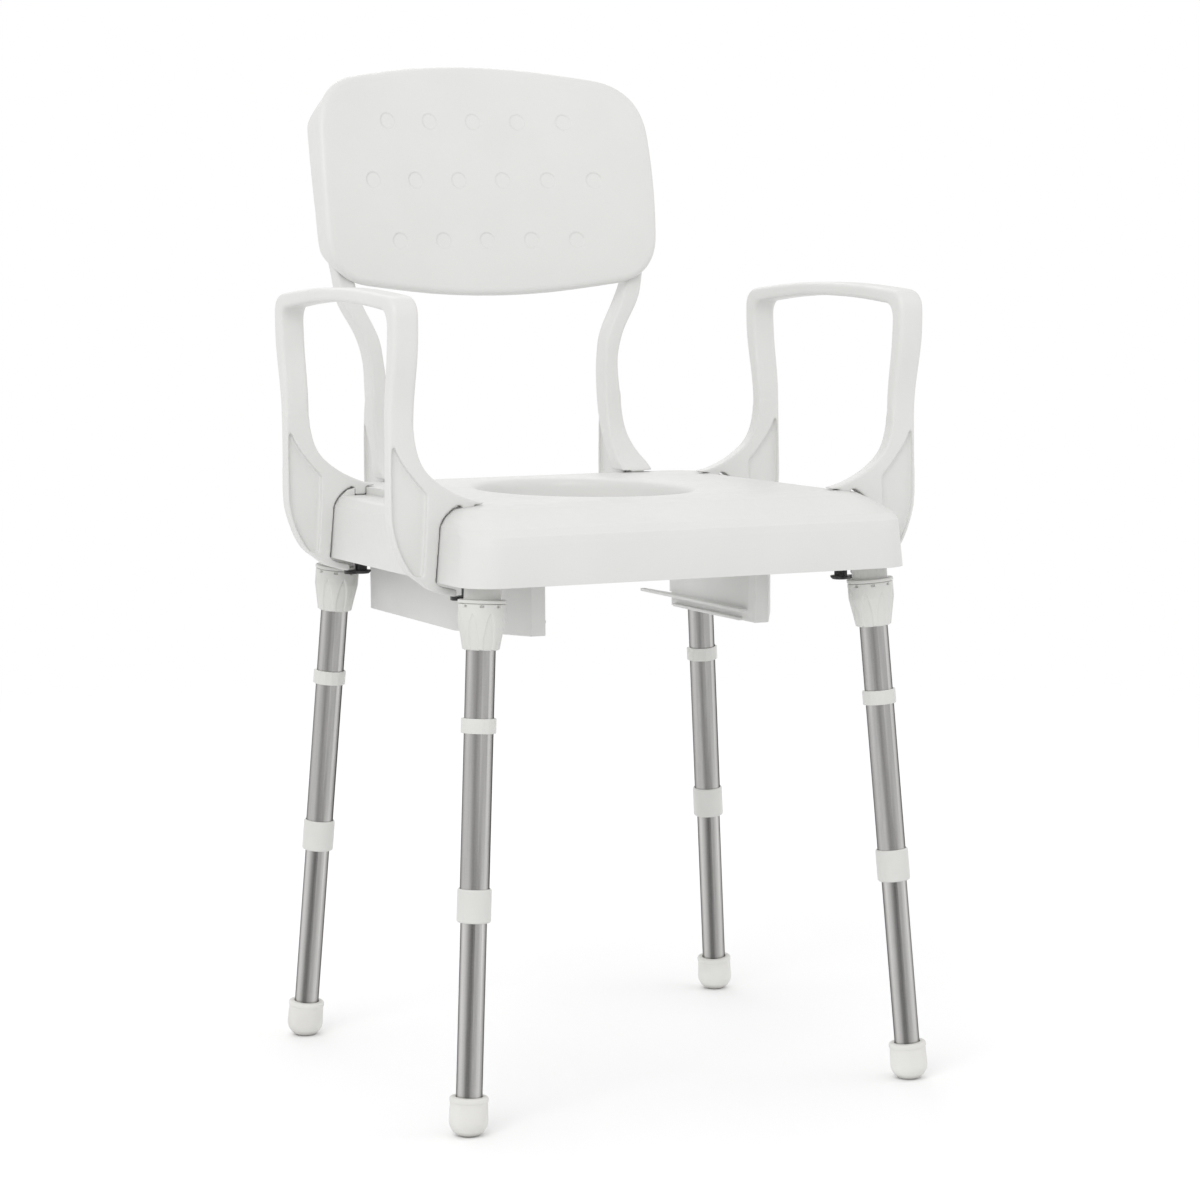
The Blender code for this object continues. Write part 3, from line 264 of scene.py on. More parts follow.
def turned(
    name: str, profile: np.ndarray, place: Matrix, segments: int = 96, level_at: float | None = None
) -> bpy.types.Object:
    """Turns a closed outline of (radius, height) round Z.

    Args:
        name: Object name.
        profile: Shape (count, 2). Points within a micrometre of the axis are moved off it.
        place: Frame whose Z the outline turns about.
        segments: Steps round.
        level_at: World height that nothing goes under, if the piece stands on a floor.

    Returns:
        The object.
    """
    angle = swept(0, 2 * math.pi, segments)
    radius = np.maximum(profile[:, 0], 2e-5)[:, None]
    height = np.repeat(profile[:, 1][:, None], segments, axis=1)
    points = np.stack([radius * np.cos(angle), radius * np.sin(angle), height], axis=-1)
    obj = surface(name, points, wrap_rows=True, place=place)
    # Painted reflection: dark and light bands, four times round the piece, that the metal's colour follows.
    painted_reflection_bands = obj.data.attributes.new("streak", "FLOAT", "POINT")
    painted_reflection_bands.data.foreach_set("value", np.tile(np.cos(4 * (angle - PAINTED_REFLECTION_TURN)), len(profile)))
    if level_at is not None:
        flat = np.empty(len(obj.data.vertices) * 3, np.float32)
        obj.data.vertices.foreach_get("co", flat)
        flat = flat.reshape(-1, 3)
        flat[:, 2] = np.maximum(flat[:, 2], level_at)
        obj.data.vertices.foreach_set("co", flat.ravel())
    return obj


def plate(
    name: str,
    outline: np.ndarray,
    thickness: float,
    place: Matrix,
    round_off: float = 0.0,
    spacing: float = 0.0015,
) -> bpy.types.Object:
    """A flat plate with rounded rims.

    Args:
        name: Object name.
        outline: Shape (count, 2).
        thickness: Full thickness, half on each side of the plane.
        place: Frame of the plane.
        round_off: Radius of both rims.
        spacing: Distance between points round the outline.

    Returns:
        The object.
    """
    outline = even(outline, spacing)
    inward = inward_of(outline)
    angles = np.linspace(0, math.pi / 2, 6) if round_off else np.array([math.pi / 2])
    insets = round_off * (1 - np.sin(angles))
    heights = thickness / 2 - round_off * (1 - np.cos(angles))
    levels = [(inset, -height) for inset, height in zip(insets, heights)]
    levels += [(inset, height) for inset, height in reversed(list(zip(insets, heights)))]
    rings = [
        np.column_stack([outline + inward * inset, np.full(len(outline), level)]) for inset, level in levels
    ]
    return surface(name, np.array(rings), cap_ends=True, place=place)


def block(name: str, low: Sequence[float], high: Sequence[float]) -> bpy.types.Object:
    """A box between two corners."""
    shape = bmesh.new()
    bmesh.ops.create_cube(shape, size=1)
    size = Vector(high) - Vector(low)
    middle = (Vector(high) + Vector(low)) / 2
    shape.transform(Matrix.Translation(middle) @ Matrix.Diagonal((*size, 1)))
    mesh = bpy.data.meshes.new(name)
    shape.to_mesh(mesh)
    shape.free()
    return new_object(name, mesh)


def rod(name: str, diameter: float, start: Vector, end: Vector, segments: int = 32) -> bpy.types.Object:
    """A cylinder between two points."""
    shape = bmesh.new()
    axis = Vector(end) - Vector(start)
    middle = Matrix.Translation((Vector(start) + Vector(end)) / 2)
    turn = middle @ axis.to_track_quat("Z", "Y").to_matrix().to_4x4()
    bmesh.ops.create_cone(
        shape,
        cap_ends=True,
        segments=segments,
        radius1=diameter / 2,
        radius2=diameter / 2,
        depth=axis.length,
        matrix=turn,
    )
    mesh = bpy.data.meshes.new(name)
    shape.to_mesh(mesh)
    shape.free()
    return new_object(name, mesh)


def bake(obj: bpy.types.Object) -> bpy.types.Object:
    """Applies every modifier."""
    bpy.context.view_layer.update()
    graph = bpy.context.evaluated_depsgraph_get()
    mesh = bpy.data.meshes.new_from_object(obj.evaluated_get(graph))
    old = obj.data
    obj.modifiers.clear()
    obj.data = mesh
    mesh.name = obj.name
    bpy.data.meshes.remove(old)
    return obj


def combined(obj: bpy.types.Object, operation: str, others: Iterable[bpy.types.Object]) -> bpy.types.Object:
    """Applies one exact Boolean after another and removes the helpers."""
    for other in others:
        modifier = obj.modifiers.new(operation.lower(), "BOOLEAN")
        modifier.operation = operation
        modifier.solver = "EXACT"
        modifier.object = other
        bake(obj)
        bpy.data.objects.remove(other)
    return obj


def cut(obj: bpy.types.Object, *others: bpy.types.Object) -> bpy.types.Object:
    """Takes the others away from the object."""
    return combined(obj, "DIFFERENCE", others)


def join(obj: bpy.types.Object, *others: bpy.types.Object) -> bpy.types.Object:
    """Adds the others to the object as one body."""
    return combined(obj, "UNION", others)


def blended(obj: bpy.types.Object, voxel: float, passes: int) -> bpy.types.Object:
    """Remeshes a moulding evenly and smooths it, which rounds its edges and inner corners."""
    remesh = obj.modifiers.new("even", "REMESH")
    remesh.mode = "VOXEL"
    remesh.voxel_size = voxel
    smooth = obj.modifiers.new("soft", "SMOOTH")
    smooth.factor = 0.5
    smooth.iterations = passes
    return bake(obj)


def bevelled(obj: bpy.types.Object, width: float, segments: int = 2, angle: float = 35.0) -> bpy.types.Object:
    """Rounds every edge sharper than an angle in degrees."""
    bevel = obj.modifiers.new("edge", "BEVEL")
    bevel.width = width
    bevel.segments = segments
    bevel.limit_method = "ANGLE"
    bevel.angle_limit = math.radians(angle)
    bevel.use_clamp_overlap = True
    return bake(obj)


def refined(node: str, width: float, angle: float = 35.0) -> bpy.types.Object:
    """A copy of a CAD node with its triangles merged into faces and its edges rounded."""
    mesh = frame["nodes"][node].data.copy()
    shape = bmesh.new()
    shape.from_mesh(mesh)
    bmesh.ops.remove_doubles(shape, verts=shape.verts, dist=1e-6)
    bmesh.ops.dissolve_limit(shape, angle_limit=math.radians(0.5), verts=shape.verts, edges=shape.edges)
    shape.to_mesh(mesh)
    shape.free()
    obj = new_object(f"{node}_look", mesh)
    return bevelled(obj, width, angle=angle)


def shaded(obj: bpy.types.Object, angle: float = 40.0) -> bpy.types.Object:
    """Shades smooth, except over edges sharper than an angle in degrees."""
    obj.data.shade_smooth()
    obj.data.set_sharp_from_angle(angle=math.radians(angle))
    return obj


# ------------------------------------------------------------------ materials


class Surface(Enum):
    """Families of finish, each with its own node tree."""

    MOULDED = "moulded"
    DRAWN_METAL = "drawn metal"
    RUBBER = "rubber"
    PANEL = "panel"
    FLOOR = "floor"


@dataclass(frozen=True)
class Finish:
    """How one material looks. Lengths are in millimetres.

    Attributes:
        slot: The record's material slot.
        family: The node tree to build.
        colour: sRGB hex colour.
        shade: sRGB hex colour of its darker blotches, and on the metals the dark of their painted reflection
            streaks.
        roughness: Middle roughness.
        spread: How far roughness varies either way.
        metallic: 0 or 1.
        grain: Size of the surface grain.
        depth: Height of the grain.
        blotch: Size of the slow colour variation.
    """

    slot: str
    family: Surface
    colour: str
    shade: str
    roughness: float
    spread: float = 0.05
    metallic: float = 0.0
    grain: float = 0.8
    depth: float = 0.02
    blotch: float = 60.0


FINISHES = {
    "white_polypropylene": Finish(
        "white_polypropylene", Surface.MOULDED, "#d3d3d1", "#d1d1cf", 0.42, 0.06, grain=0.7, depth=0.03
    ),
    "panel_polypropylene": Finish(
        "white_polypropylene", Surface.PANEL, "#d3d3d1", "#d1d1cf", 0.40, 0.06, grain=0.7, depth=0.03
    ),
    "white_nylon": Finish(
        "white_nylon", Surface.MOULDED, "#cdcdca", "#c8c8c5", 0.36, 0.06, grain=0.5, depth=0.015
    ),
    # On the metals the shade is the dark of the painted reflection streaks.
    "anodised_aluminium": Finish(
        "anodised_aluminium", Surface.DRAWN_METAL, "#d6d5d3", "#454443", 0.34, 0.07, 1.0, 0.5, 0.006
    ),
    "white_rubber": Finish(
        "white_rubber", Surface.RUBBER, "#dededb", "#cfceca", 0.62, 0.08, grain=0.35, depth=0.03
    ),
    "black_nylon": Finish(
        "black_nylon", Surface.MOULDED, "#1c1c1d", "#2b2b2c", 0.38, 0.08, grain=0.6, depth=0.02
    ),
    # Its shade is the dark of the painted reflection streaks too.
    "stainless_steel": Finish(
        "stainless_steel", Surface.DRAWN_METAL, "#cfcfd0", "#8a8a8c", 0.24, 0.05, 1.0, grain=0.3, depth=0.004
    ),
}


def linear(colour: str) -> tuple[float, float, float, float]:
    """Turns an sRGB hex colour into linear red, green, blue and alpha."""
    parts = [int(colour[start : start + 2], 16) / 255 for start in (1, 3, 5)]
    red, green, blue = (
        part / 12.92 if part <= 0.04045 else ((part + 0.055) / 1.055) ** 2.4 for part in parts
    )
    return red, green, blue, 1.0


@dataclass
class Painter:
    """Builds each finish's material once.

    Attributes:
        made: Materials built so far, by name.
    """

    made: dict[str, bpy.types.Material] = field(default_factory=dict)

    def paint(self, obj: bpy.types.Object, name: str) -> None:
        """Gives the object a finish."""
        finish = FINISHES[name]
        if name not in self.made:
            self.made[name] = self.material(name, finish)
        obj.data.materials.clear()
        obj.data.materials.append(self.made[name])

    def material(self, name: str, finish: Finish) -> bpy.types.Material:
        """Builds a finish's node tree."""
        material = bpy.data.materials.new(name)
        material.use_nodes = True
        tree = material.node_tree
        tree.nodes.clear()
        shader = add(tree, "ShaderNodeBsdfPrincipled", {"Metallic": finish.metallic})
        add(tree, "ShaderNodeOutputMaterial", {"Surface": shader.outputs["BSDF"]})
        if finish.family is Surface.DRAWN_METAL:
            drawn_metal(tree, shader, finish)
        else:
            moulded(tree, shader, finish)
        if finish.family is Surface.RUBBER:
            shader.inputs["Specular IOR Level"].default_value = 0.3
        return material


def add(
    tree: bpy.types.NodeTree, kind: str, inputs: dict[str | int, object] | None = None, **settings: object
) -> bpy.types.Node:
    """Adds a node, sets its own settings, then fills or links its inputs.

    Args:
        tree: The tree to add to.
        kind: Blender's node type.
        inputs: Values or output sockets by input name or index.
        settings: The node's properties.

    Returns:
        The node.
    """
    node = tree.nodes.new(kind)
    for key, value in settings.items():
        setattr(node, key, value)
    for key, value in (inputs or {}).items():
        socket = node.inputs[key]
        if isinstance(value, bpy.types.NodeSocket):
            tree.links.new(value, socket)
        else:
            socket.default_value = value
    return node


def number(tree: bpy.types.NodeTree, operation: str, *values: object) -> bpy.types.NodeSocket:
    """One Math node's result."""
    return add(tree, "ShaderNodeMath", dict(enumerate(values)), operation=operation).outputs[0]


def noise(tree: bpy.types.NodeTree, place: object, size: float, detail: float = 3.0) -> bpy.types.NodeSocket:
    """Noise whose features are about this many millimetres across."""
    inputs = {"Vector": place, "Scale": 1 / (size * MM), "Detail": detail}
    return add(tree, "ShaderNodeTexNoise", inputs).outputs[0]


def spread_to(tree: bpy.types.NodeTree, value: object, low: float, high: float) -> bpy.types.NodeSocket:
    """Stretches noise's usual middle range to run from low to high."""
    inputs = {"Value": value, "From Min": 0.3, "From Max": 0.7, "To Min": low, "To Max": high}
    return add(tree, "ShaderNodeMapRange", inputs).outputs[0]


def tinted(tree: bpy.types.NodeTree, factor: object, finish: Finish) -> bpy.types.NodeSocket:
    """Mixes a finish's shade into its colour."""
    inputs = {"Factor": factor, 6: linear(finish.colour), 7: linear(finish.shade)}
    return add(tree, "ShaderNodeMix", inputs, data_type="RGBA").outputs[2]


def moulded(tree: bpy.types.NodeTree, shader: bpy.types.Node, finish: Finish) -> None:
    """Moulded plastic or rubber: a fine spark-eroded grain, slow colour drift and uneven sheen."""
    place = add(tree, "ShaderNodeTexCoord").outputs["Object"]
    fine = noise(tree, place, finish.grain, 4.0)
    slow = noise(tree, place, finish.blotch, 2.0)
    scuff = noise(tree, place, finish.blotch / 8, 5.0)
    colour = tinted(tree, spread_to(tree, slow, 0.0, 1.0), finish)
    if finish.family is Surface.RUBBER:
        # The rubber is greyed over its last few millimetres above the floor.
        colour = greyed_near_floor(tree, colour)
    tree.links.new(colour, shader.inputs["Base Color"])
    rough = spread_to(tree, scuff, finish.roughness - finish.spread, finish.roughness + finish.spread)
    tree.links.new(rough, shader.inputs["Roughness"])
    bump = add(tree, "ShaderNodeBump", {"Strength": 0.6, "Distance": finish.depth * MM, "Height": fine})
    if finish.family is Surface.PANEL:
        discs = {"Strength": 1.0, "Distance": DISC_DEPTH, "Height": disc_relief(tree, place)}
        bump = add(tree, "ShaderNodeBump", {**discs, "Normal": bump.outputs[0]})
    tree.links.new(bump.outputs[0], shader.inputs["Normal"])


def greyed_near_floor(tree: bpy.types.NodeTree, colour: bpy.types.NodeSocket) -> bpy.types.NodeSocket:
    """Greys the last few millimetres over the floor."""
    place = add(tree, "ShaderNodeTexCoord").outputs["Object"]
    height = add(tree, "ShaderNodeSeparateXYZ", {"Vector": place}).outputs["Z"]
    inputs = {"Value": height, "From Min": 0.0, "From Max": 0.006, "To Min": 0.55, "To Max": 0.0}
    low = add(tree, "ShaderNodeMapRange", inputs).outputs[0]
    mix = {"Factor": low, 6: colour, 7: linear("#8f8d88")}
    return add(tree, "ShaderNodeMix", mix, data_type="RGBA").outputs[2]


@dataclass(frozen=True)
class DiscRow:
    """One row of shallow round dimples on the backrest.

    Attributes:
        height: World height of the row.
        count: Dimples in it.
    """

    height: float
    count: int


DISC_ROWS = (DiscRow(0.9685, 5), DiscRow(0.9048, 6), DiscRow(0.8399, 5))
DISC_PITCH = 0.0518
DISC_RADIUS = 0.0098
DISC_EDGE = 0.0028
DISC_DEPTH = 0.8 * MM
DISC_MIDDLE = -0.002


def disc_relief(tree: bpy.types.NodeTree, place: bpy.types.NodeSocket) -> bpy.types.NodeSocket:
    """Height of the backrest's rows of ring-edged discs, from 0 to 1."""
    parts = add(tree, "ShaderNodeSeparateXYZ", {"Vector": place})
    across, up = parts.outputs["X"], parts.outputs["Z"]
    relief: object = 1.0
    for row in DISC_ROWS:
        shift = DISC_MIDDLE - (0.0 if row.count % 2 else DISC_PITCH / 2)
        along = number(tree, "PINGPONG", number(tree, "SUBTRACT", across, shift), DISC_PITCH / 2)
        rise = number(tree, "SUBTRACT", up, row.height)
        squares = number(tree, "ADD", number(tree, "POWER", along, 2.0), number(tree, "MULTIPLY", rise, rise))
        far = number(tree, "SQRT", squares)
        inputs = {
            "Value": far,
            "From Min": DISC_RADIUS - DISC_EDGE,
            "From Max": DISC_RADIUS,
            "To Min": 0.0,
            "To Max": 1.0,
        }
        bowl = add(tree, "ShaderNodeMapRange", inputs, interpolation_type="SMOOTHSTEP").outputs[0]
        limit = DISC_PITCH * row.count / 2
        aside = number(tree, "ABSOLUTE", number(tree, "SUBTRACT", across, DISC_MIDDLE))
        beyond = number(tree, "GREATER_THAN", aside, limit)
        relief = number(tree, "MINIMUM", relief, number(tree, "MAXIMUM", bowl, beyond))
    facing = add(tree, "ShaderNodeTexCoord").outputs["Normal"]
    toward = add(tree, "ShaderNodeSeparateXYZ", {"Vector": facing}).outputs["Y"]
    back = number(tree, "GREATER_THAN", toward, 0.0)
    return number(tree, "MAXIMUM", relief, back)


def drawn_metal(tree: bpy.types.NodeTree, shader: bpy.types.Node, finish: Finish) -> None:
    """Drawn tube: broad soft streaks of painted reflection and fine draw lines that run along it, with painted
    reflection bands round it.
    """
    place = add(tree, "ShaderNodeTexCoord").outputs["UV"]
    # The broad streaks are painted reflection; the fine draw lines and specks are the tube's own grain.
    reflection_streak_place = add(tree, "ShaderNodeMapping", {"Vector": place, "Scale": (1.0, 0.012, 1.0)}).outputs[0]
    fine_place = add(tree, "ShaderNodeMapping", {"Vector": place, "Scale": (1.0, 0.02, 1.0)}).outputs[0]
    painted_reflection_streaks = noise(tree, reflection_streak_place, 9.0, 1.5)
    fine = noise(tree, fine_place, finish.grain, 3.0)
    speck = noise(tree, place, 1.6, 3.0)
    mixed = number(tree, "ADD", number(tree, "MULTIPLY", painted_reflection_streaks, 0.78), number(tree, "MULTIPLY", fine, 0.14))
    mixed = number(tree, "ADD", mixed, number(tree, "MULTIPLY", speck, 0.08))
    # The bands round turned pieces add more painted reflection, and all of it mixes the colour toward the dark
    # shade.
    streak = add(tree, "ShaderNodeAttribute", attribute_name="streak").outputs["Fac"]
    painted_reflection_and_grain = number(tree, "MULTIPLY_ADD", streak, 0.3, spread_to(tree, mixed, 0.25, 0.75))
    tree.links.new(tinted(tree, painted_reflection_and_grain, finish), shader.inputs["Base Color"])
    shader.inputs["Specular Tint"].default_value = linear("#8c8b8a")
    rough = spread_to(tree, fine, finish.roughness - finish.spread, finish.roughness + finish.spread)
    tree.links.new(rough, shader.inputs["Roughness"])
    bump = add(tree, "ShaderNodeBump", {"Strength": 0.5, "Distance": finish.depth * MM, "Height": fine})
    tree.links.new(bump.outputs[0], shader.inputs["Normal"])


# ------------------------------------------------------------------ chair


@dataclass(frozen=True)
class SeatSizes:
    """The seat's frame, from its CAD box, and the details that its box can't give. Metres.

    Attributes:
        middle: World Y of the seat's centre.
        half_width: Half the width over the skirt.
        half_depth: Half the depth over the skirt.
        low: Height of the skirt's lower edge.
        top: Height of the deck.
    """

    middle: float
    half_width: float
    half_depth: float
    low: float
    top: float
    wall: float = 0.0035
    corner: float = 0.035
    shoulder_drop: float = 0.0080
    opening_y: float = 0.035
    opening_x: float = 0.100
    opening_reach: float = 0.140
    flare: float = 0.020
    chute: float = 0.030
    groove_outer: float = 0.0262
    groove_width: float = 0.0131
    groove_depth: float = 0.0084
    hook_width: float = 0.0152
    hook_gap: float = 0.0005
    hook_reach: float = 0.0473
    pocket_depth: float = 0.004
    arm_hook_y: float = 0.1454
    back_hook_x: float = 0.1388
    rail_top: float = 0.5692
    latch_inset: float = 0.0345

    @classmethod
    def measured(cls) -> "SeatSizes":
        """Reads the seat's frame from the CAD."""
        low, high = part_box("seat_shell")
        return cls((low.y + high.y) / 2, high.x, (high.y - low.y) / 2, low.z, high.z)


# Rise as a share of the seat's height, then how far the side and rear wall, and the front wall, stand in.
SEAT_STATIONS = (
    (0.000, 0.0000, 0.0000),
    (0.538, 0.0033, 0.0018),
    (0.650, 0.0040, 0.0026),
    (0.741, 0.0048, 0.0125),
    (0.853, 0.0098, 0.0350),
    (0.962, 0.0187, 0.0590),
    (1.000, 0.0300, 0.0750),
)


@dataclass
class Chair:
    """Builds and paints every piece.

    Attributes:
        painter: Gives the finishes.
        seat: The seat's sizes, which the hooks share.
        pieces: The pieces made so far.
    """

    painter: Painter
    seat: SeatSizes
    pieces: list[bpy.types.Object] = field(default_factory=list)

    def finish(self, obj: bpy.types.Object, node: str, finish: str, angle: float = 40.0) -> bpy.types.Object:
        """Shades and paints a piece, seats it on its node's body and puts it in the node's place."""
        obj.name = f"{node}_look"
        obj.data.name = obj.name
        shaded(obj, angle)
        self.painter.paint(obj, finish)
        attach(obj, frame["nodes"][node]["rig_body"])
        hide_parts(node)
        self.pieces.append(obj)
        return obj

    def shifted(self, obj: bpy.types.Object) -> bpy.types.Object:
        """Moves a mesh drawn about the seat's centre to its place in the chair."""
        obj.data.transform(Matrix.Translation((0, self.seat.middle, 0)))
        return obj

    def mirrored(self, obj: bpy.types.Object, name: str) -> bpy.types.Object:
        """A copy on the other side of X = 0."""
        mesh = obj.data.copy()
        mesh.transform(Matrix.Diagonal((-1, 1, 1, 1)))
        mesh.flip_normals()
        return new_object(name, mesh)

    # -------------------------------------------------------------- seat

    def seat_ring(self, inset: float, front: float, shrink: float, steps: int = 14) -> np.ndarray:
        """A rounded rectangle in plan, shape (count, 2)."""
        seat = self.seat
        half = seat.half_width - inset - shrink
        front_y = -seat.half_depth + front + shrink
        rear_y = seat.half_depth - inset - shrink
        radius = max(seat.corner - shrink, 0.005)
        corners = []
        for index, (sx, sy) in enumerate(((1, 1), (-1, 1), (-1, -1), (1, -1))):
            angle = math.pi / 2 * (index + np.linspace(0, 1, steps + 1))
            centre_y = rear_y - radius if sy > 0 else front_y + radius
            across = sx * (half - radius) + radius * np.cos(angle)
            corners.append(np.stack([across, centre_y + radius * np.sin(angle)], axis=1))
        return np.concatenate(corners)

    def seat_body(self, name: str, shrink: float, low: float, top: float) -> bpy.types.Object:
        """The skirt and deck as one solid, in by a distance."""
        path = softened_path(np.array(SEAT_STATIONS), [0.005] * len(SEAT_STATIONS), 4, closed=False)
        rise = self.seat.top - self.seat.low
        rings = []
        for share, inset, front in path:
            height = self.seat.low + share * rise if share > 0 else low
            height = min(height - shrink * share, top)
            plan = self.seat_ring(inset, front, shrink)
            rings.append(np.column_stack([plan, np.full(len(plan), height)]))
        return surface(name, np.array(rings), cap_ends=True)

    def oval(self, grow: float, height: float, steps: int = 128) -> np.ndarray:
        """The opening's outline, grown by a distance, shape (steps, 3)."""
        seat = self.seat
        angle = swept(0, 2 * math.pi, steps)
        return np.stack(
            [
                (seat.opening_x + grow) * np.cos(angle),
                seat.opening_y + (seat.opening_reach + grow) * np.sin(angle),
                np.full(steps, height),
            ],
            axis=1,
        )

    def edge_cuts(self, grow: float) -> list[bpy.types.Object]:
        """Grooves for the hooks and the lowered shoulders between the arms' hooks."""
        seat = self.seat
        inner = seat.groove_outer + seat.groove_width + grow
        above = seat.top + 0.03
        low = seat.top - seat.groove_depth - grow
        half = seat.hook_width / 2 + seat.hook_gap + grow
        cuts = []
        for side in (-1, 1):
            outer = seat.half_width - seat.groove_outer + grow
            xs = sorted((side * (seat.half_width - inner), side * outer))
            for end in (-1, 1):
                y = end * seat.arm_hook_y
                cuts.append(block("groove", (xs[0], y - half, low), (xs[1], y + half, above)))
            x = side * seat.back_hook_x
            ys = (seat.half_depth - inner, seat.half_depth - seat.groove_outer + grow)
            cuts.append(block("groove", (x - half, ys[0], low), (x + half, ys[1], above)))
            xs = sorted((side * (seat.half_width - inner), side * (seat.half_width + 0.01)))
            reach = seat.arm_hook_y - seat.hook_width / 2 + grow
            shelf = seat.top - seat.shoulder_drop - grow
            cuts.append(block("shelf", (xs[0], -reach, shelf), (xs[1], reach, above)))
        return cuts

    def bosses(self, grow: float, low_shift: float) -> list[bpy.types.Object]:
        """Posts round the latches' studs and the sockets, or their bores."""
        seat = self.seat
        posts = []
        for side in (-1, 1):
            for x, y in (
                (seat.half_width - seat.latch_inset, -seat.arm_hook_y),
                (seat.half_width - seat.latch_inset, seat.arm_hook_y),
                (seat.back_hook_x, seat.half_depth - seat.latch_inset),
            ):
                start = Vector((side * x, y, seat.low - low_shift))
                end = Vector((side * x, y, seat.low + 0.0163 if low_shift else seat.top + 0.01))
                posts.append(rod("post", 0.0066 + 2 * grow, start, end))
        for place in leg_frames().values():
            length = leg_length(place, seat.low)
            local = Matrix.Translation((0, -seat.middle, 0)) @ place
            start = local @ Vector((0, 0, length + (0.006 if grow else -0.02)))
            end = local @ Vector((0, 0, length + (0.09 if grow else 0.0503)))
            posts.append(rod("boss", 0.0356 + 2 * grow, start, end, 64))
        return posts

    def build_seat(self) -> None:
        """The hollow seat moulding with its rolled opening."""
        seat = self.seat
        shell = cut(self.seat_body("seat", 0.0, seat.low, seat.top), *self.edge_cuts(0.0))
        under = seat.top - seat.wall
        hollow = self.seat_body("hollow", seat.wall, seat.low - 0.01, under)
        chute = [(0.0, seat.chute), (0.0, 0.024), (seat.flare * 0.5, 0.009)]
        chute += [(seat.flare * 0.9, 0.0025), (seat.flare * 0.9, -0.01)]
        rings = np.array([self.oval(seat.wall + grow, seat.top - drop) for grow, drop in chute])
        chute_wall = surface("chute", rings, cap_ends=True)
        cut(hollow, *self.edge_cuts(seat.wall), chute_wall, *self.bosses(seat.wall, 0.0))
        cut(shell, hollow)
        lip = softened([(0.0, 0.050), (0.0, 0.016), (0.0008, 0.006), (0.0060, 0.0012), (0.0200, 0.0)], 8, False)
        lip = np.vstack([lip, [[0.0230, -0.02]]])
        rings = np.array([self.oval(grow, seat.top - drop) for grow, drop in lip])
        cut(shell, surface("opening", rings, cap_ends=True), *self.bosses(0.0, 0.02))
        bevelled(shell, 0.0008, 2, 50.0)
        self.finish(self.shifted(shell), "seat_shell", "white_polypropylene", 35.0)

    # -------------------------------------------------------------- hooks

    def hook_outline(self, branch: Sequence[Corner], head: Sequence[Corner]) -> list[Corner]:
        """A clasp as (distance out from the skirt's edge, height)."""
        seat = self.seat
        top, low, reach = seat.top, seat.low, seat.hook_reach
        groove = -(seat.groove_outer + seat.groove_width / 2)
        lip = seat.groove_width / 2 - seat.hook_gap
        lip_low = top - seat.groove_depth + seat.hook_gap
        gap = seat.hook_gap + 0.0003
        outside = [
            (reach, top - 0.003),
            (reach - 0.0015, low + 0.050),
            (reach - 0.0097, low + 0.0251),
            (reach - 0.0190, low + 0.0090),
            (reach - 0.0334, low - 0.0011),
            (0.0060, low - 0.0080),
            (-0.0145, low - 0.0140, 0.002),
            (-0.0200, low - 0.0145, 0.002),
            (-0.0200, low - 0.0075, 0.002),
            (-0.0060, low - 0.0045),
            (gap + 0.0010, low - 0.0005),
            (gap, low + 0.0050),
        ]
        inside = [
            (gap - 0.0033, low + 0.0385),
            (gap - 0.0040, low + 0.0465),
            (gap - 0.0042, low + 0.0530),
            (gap - 0.0086, low + 0.0618),
            (-0.0175, top - 0.0021 + gap),
            (-(seat.groove_outer - 0.0038), top + 0.0002 + gap),
            (groove + lip, top + gap * 0.5, 0.0008),
            (groove + lip, lip_low, 0.0012),
            (groove - lip, lip_low, 0.0012),
            (groove - lip, top + gap, 0.0008),
        ]
        return [*head, *outside, *inside, *branch]

    def pocket_outline(self) -> list[Corner]:
        """The recess in each face of a clasp, beside the rib."""
        top, low, reach = self.seat.top, self.seat.low, self.seat.hook_reach
        return [
            (reach - 0.0030, top + 0.066),
            (reach - 0.0110, top + 0.046),
            (reach - 0.0218, top + 0.0315),
            (reach - 0.0302, top + 0.0213),
            (reach - 0.0383, top + 0.0125, 0.002),
            (0.0105, top - 0.028),
            (0.0140, low + 0.0055, 0.0015),
            (reach - 0.0238, low + 0.0075, 0.0015),
            (reach - 0.0113, low + 0.0270),
            (reach - 0.0043, low + 0.0505),
            (reach - 0.0030, top - 0.003),
        ]

    def add_clasp(
        self, body: bpy.types.Object, edge: float, outline: list[Corner], plane: Plane, along: float
    ) -> bpy.types.Object:
        """Joins a clasp to a body, then cuts the recess in each of its faces."""
        thickness = self.seat.hook_width
        join(body, plate("clasp", softened(outline, 5) + (edge, 0), thickness, plane.at(along), 0.0008))
        pocket = softened(self.pocket_outline(), 5) + (edge, 0)
        recesses = [
            plate("recess", pocket, 2 * self.seat.pocket_depth, plane.at(along + face * thickness / 2))
            for face in (-1, 1)
        ]
        return cut(body, *recesses)

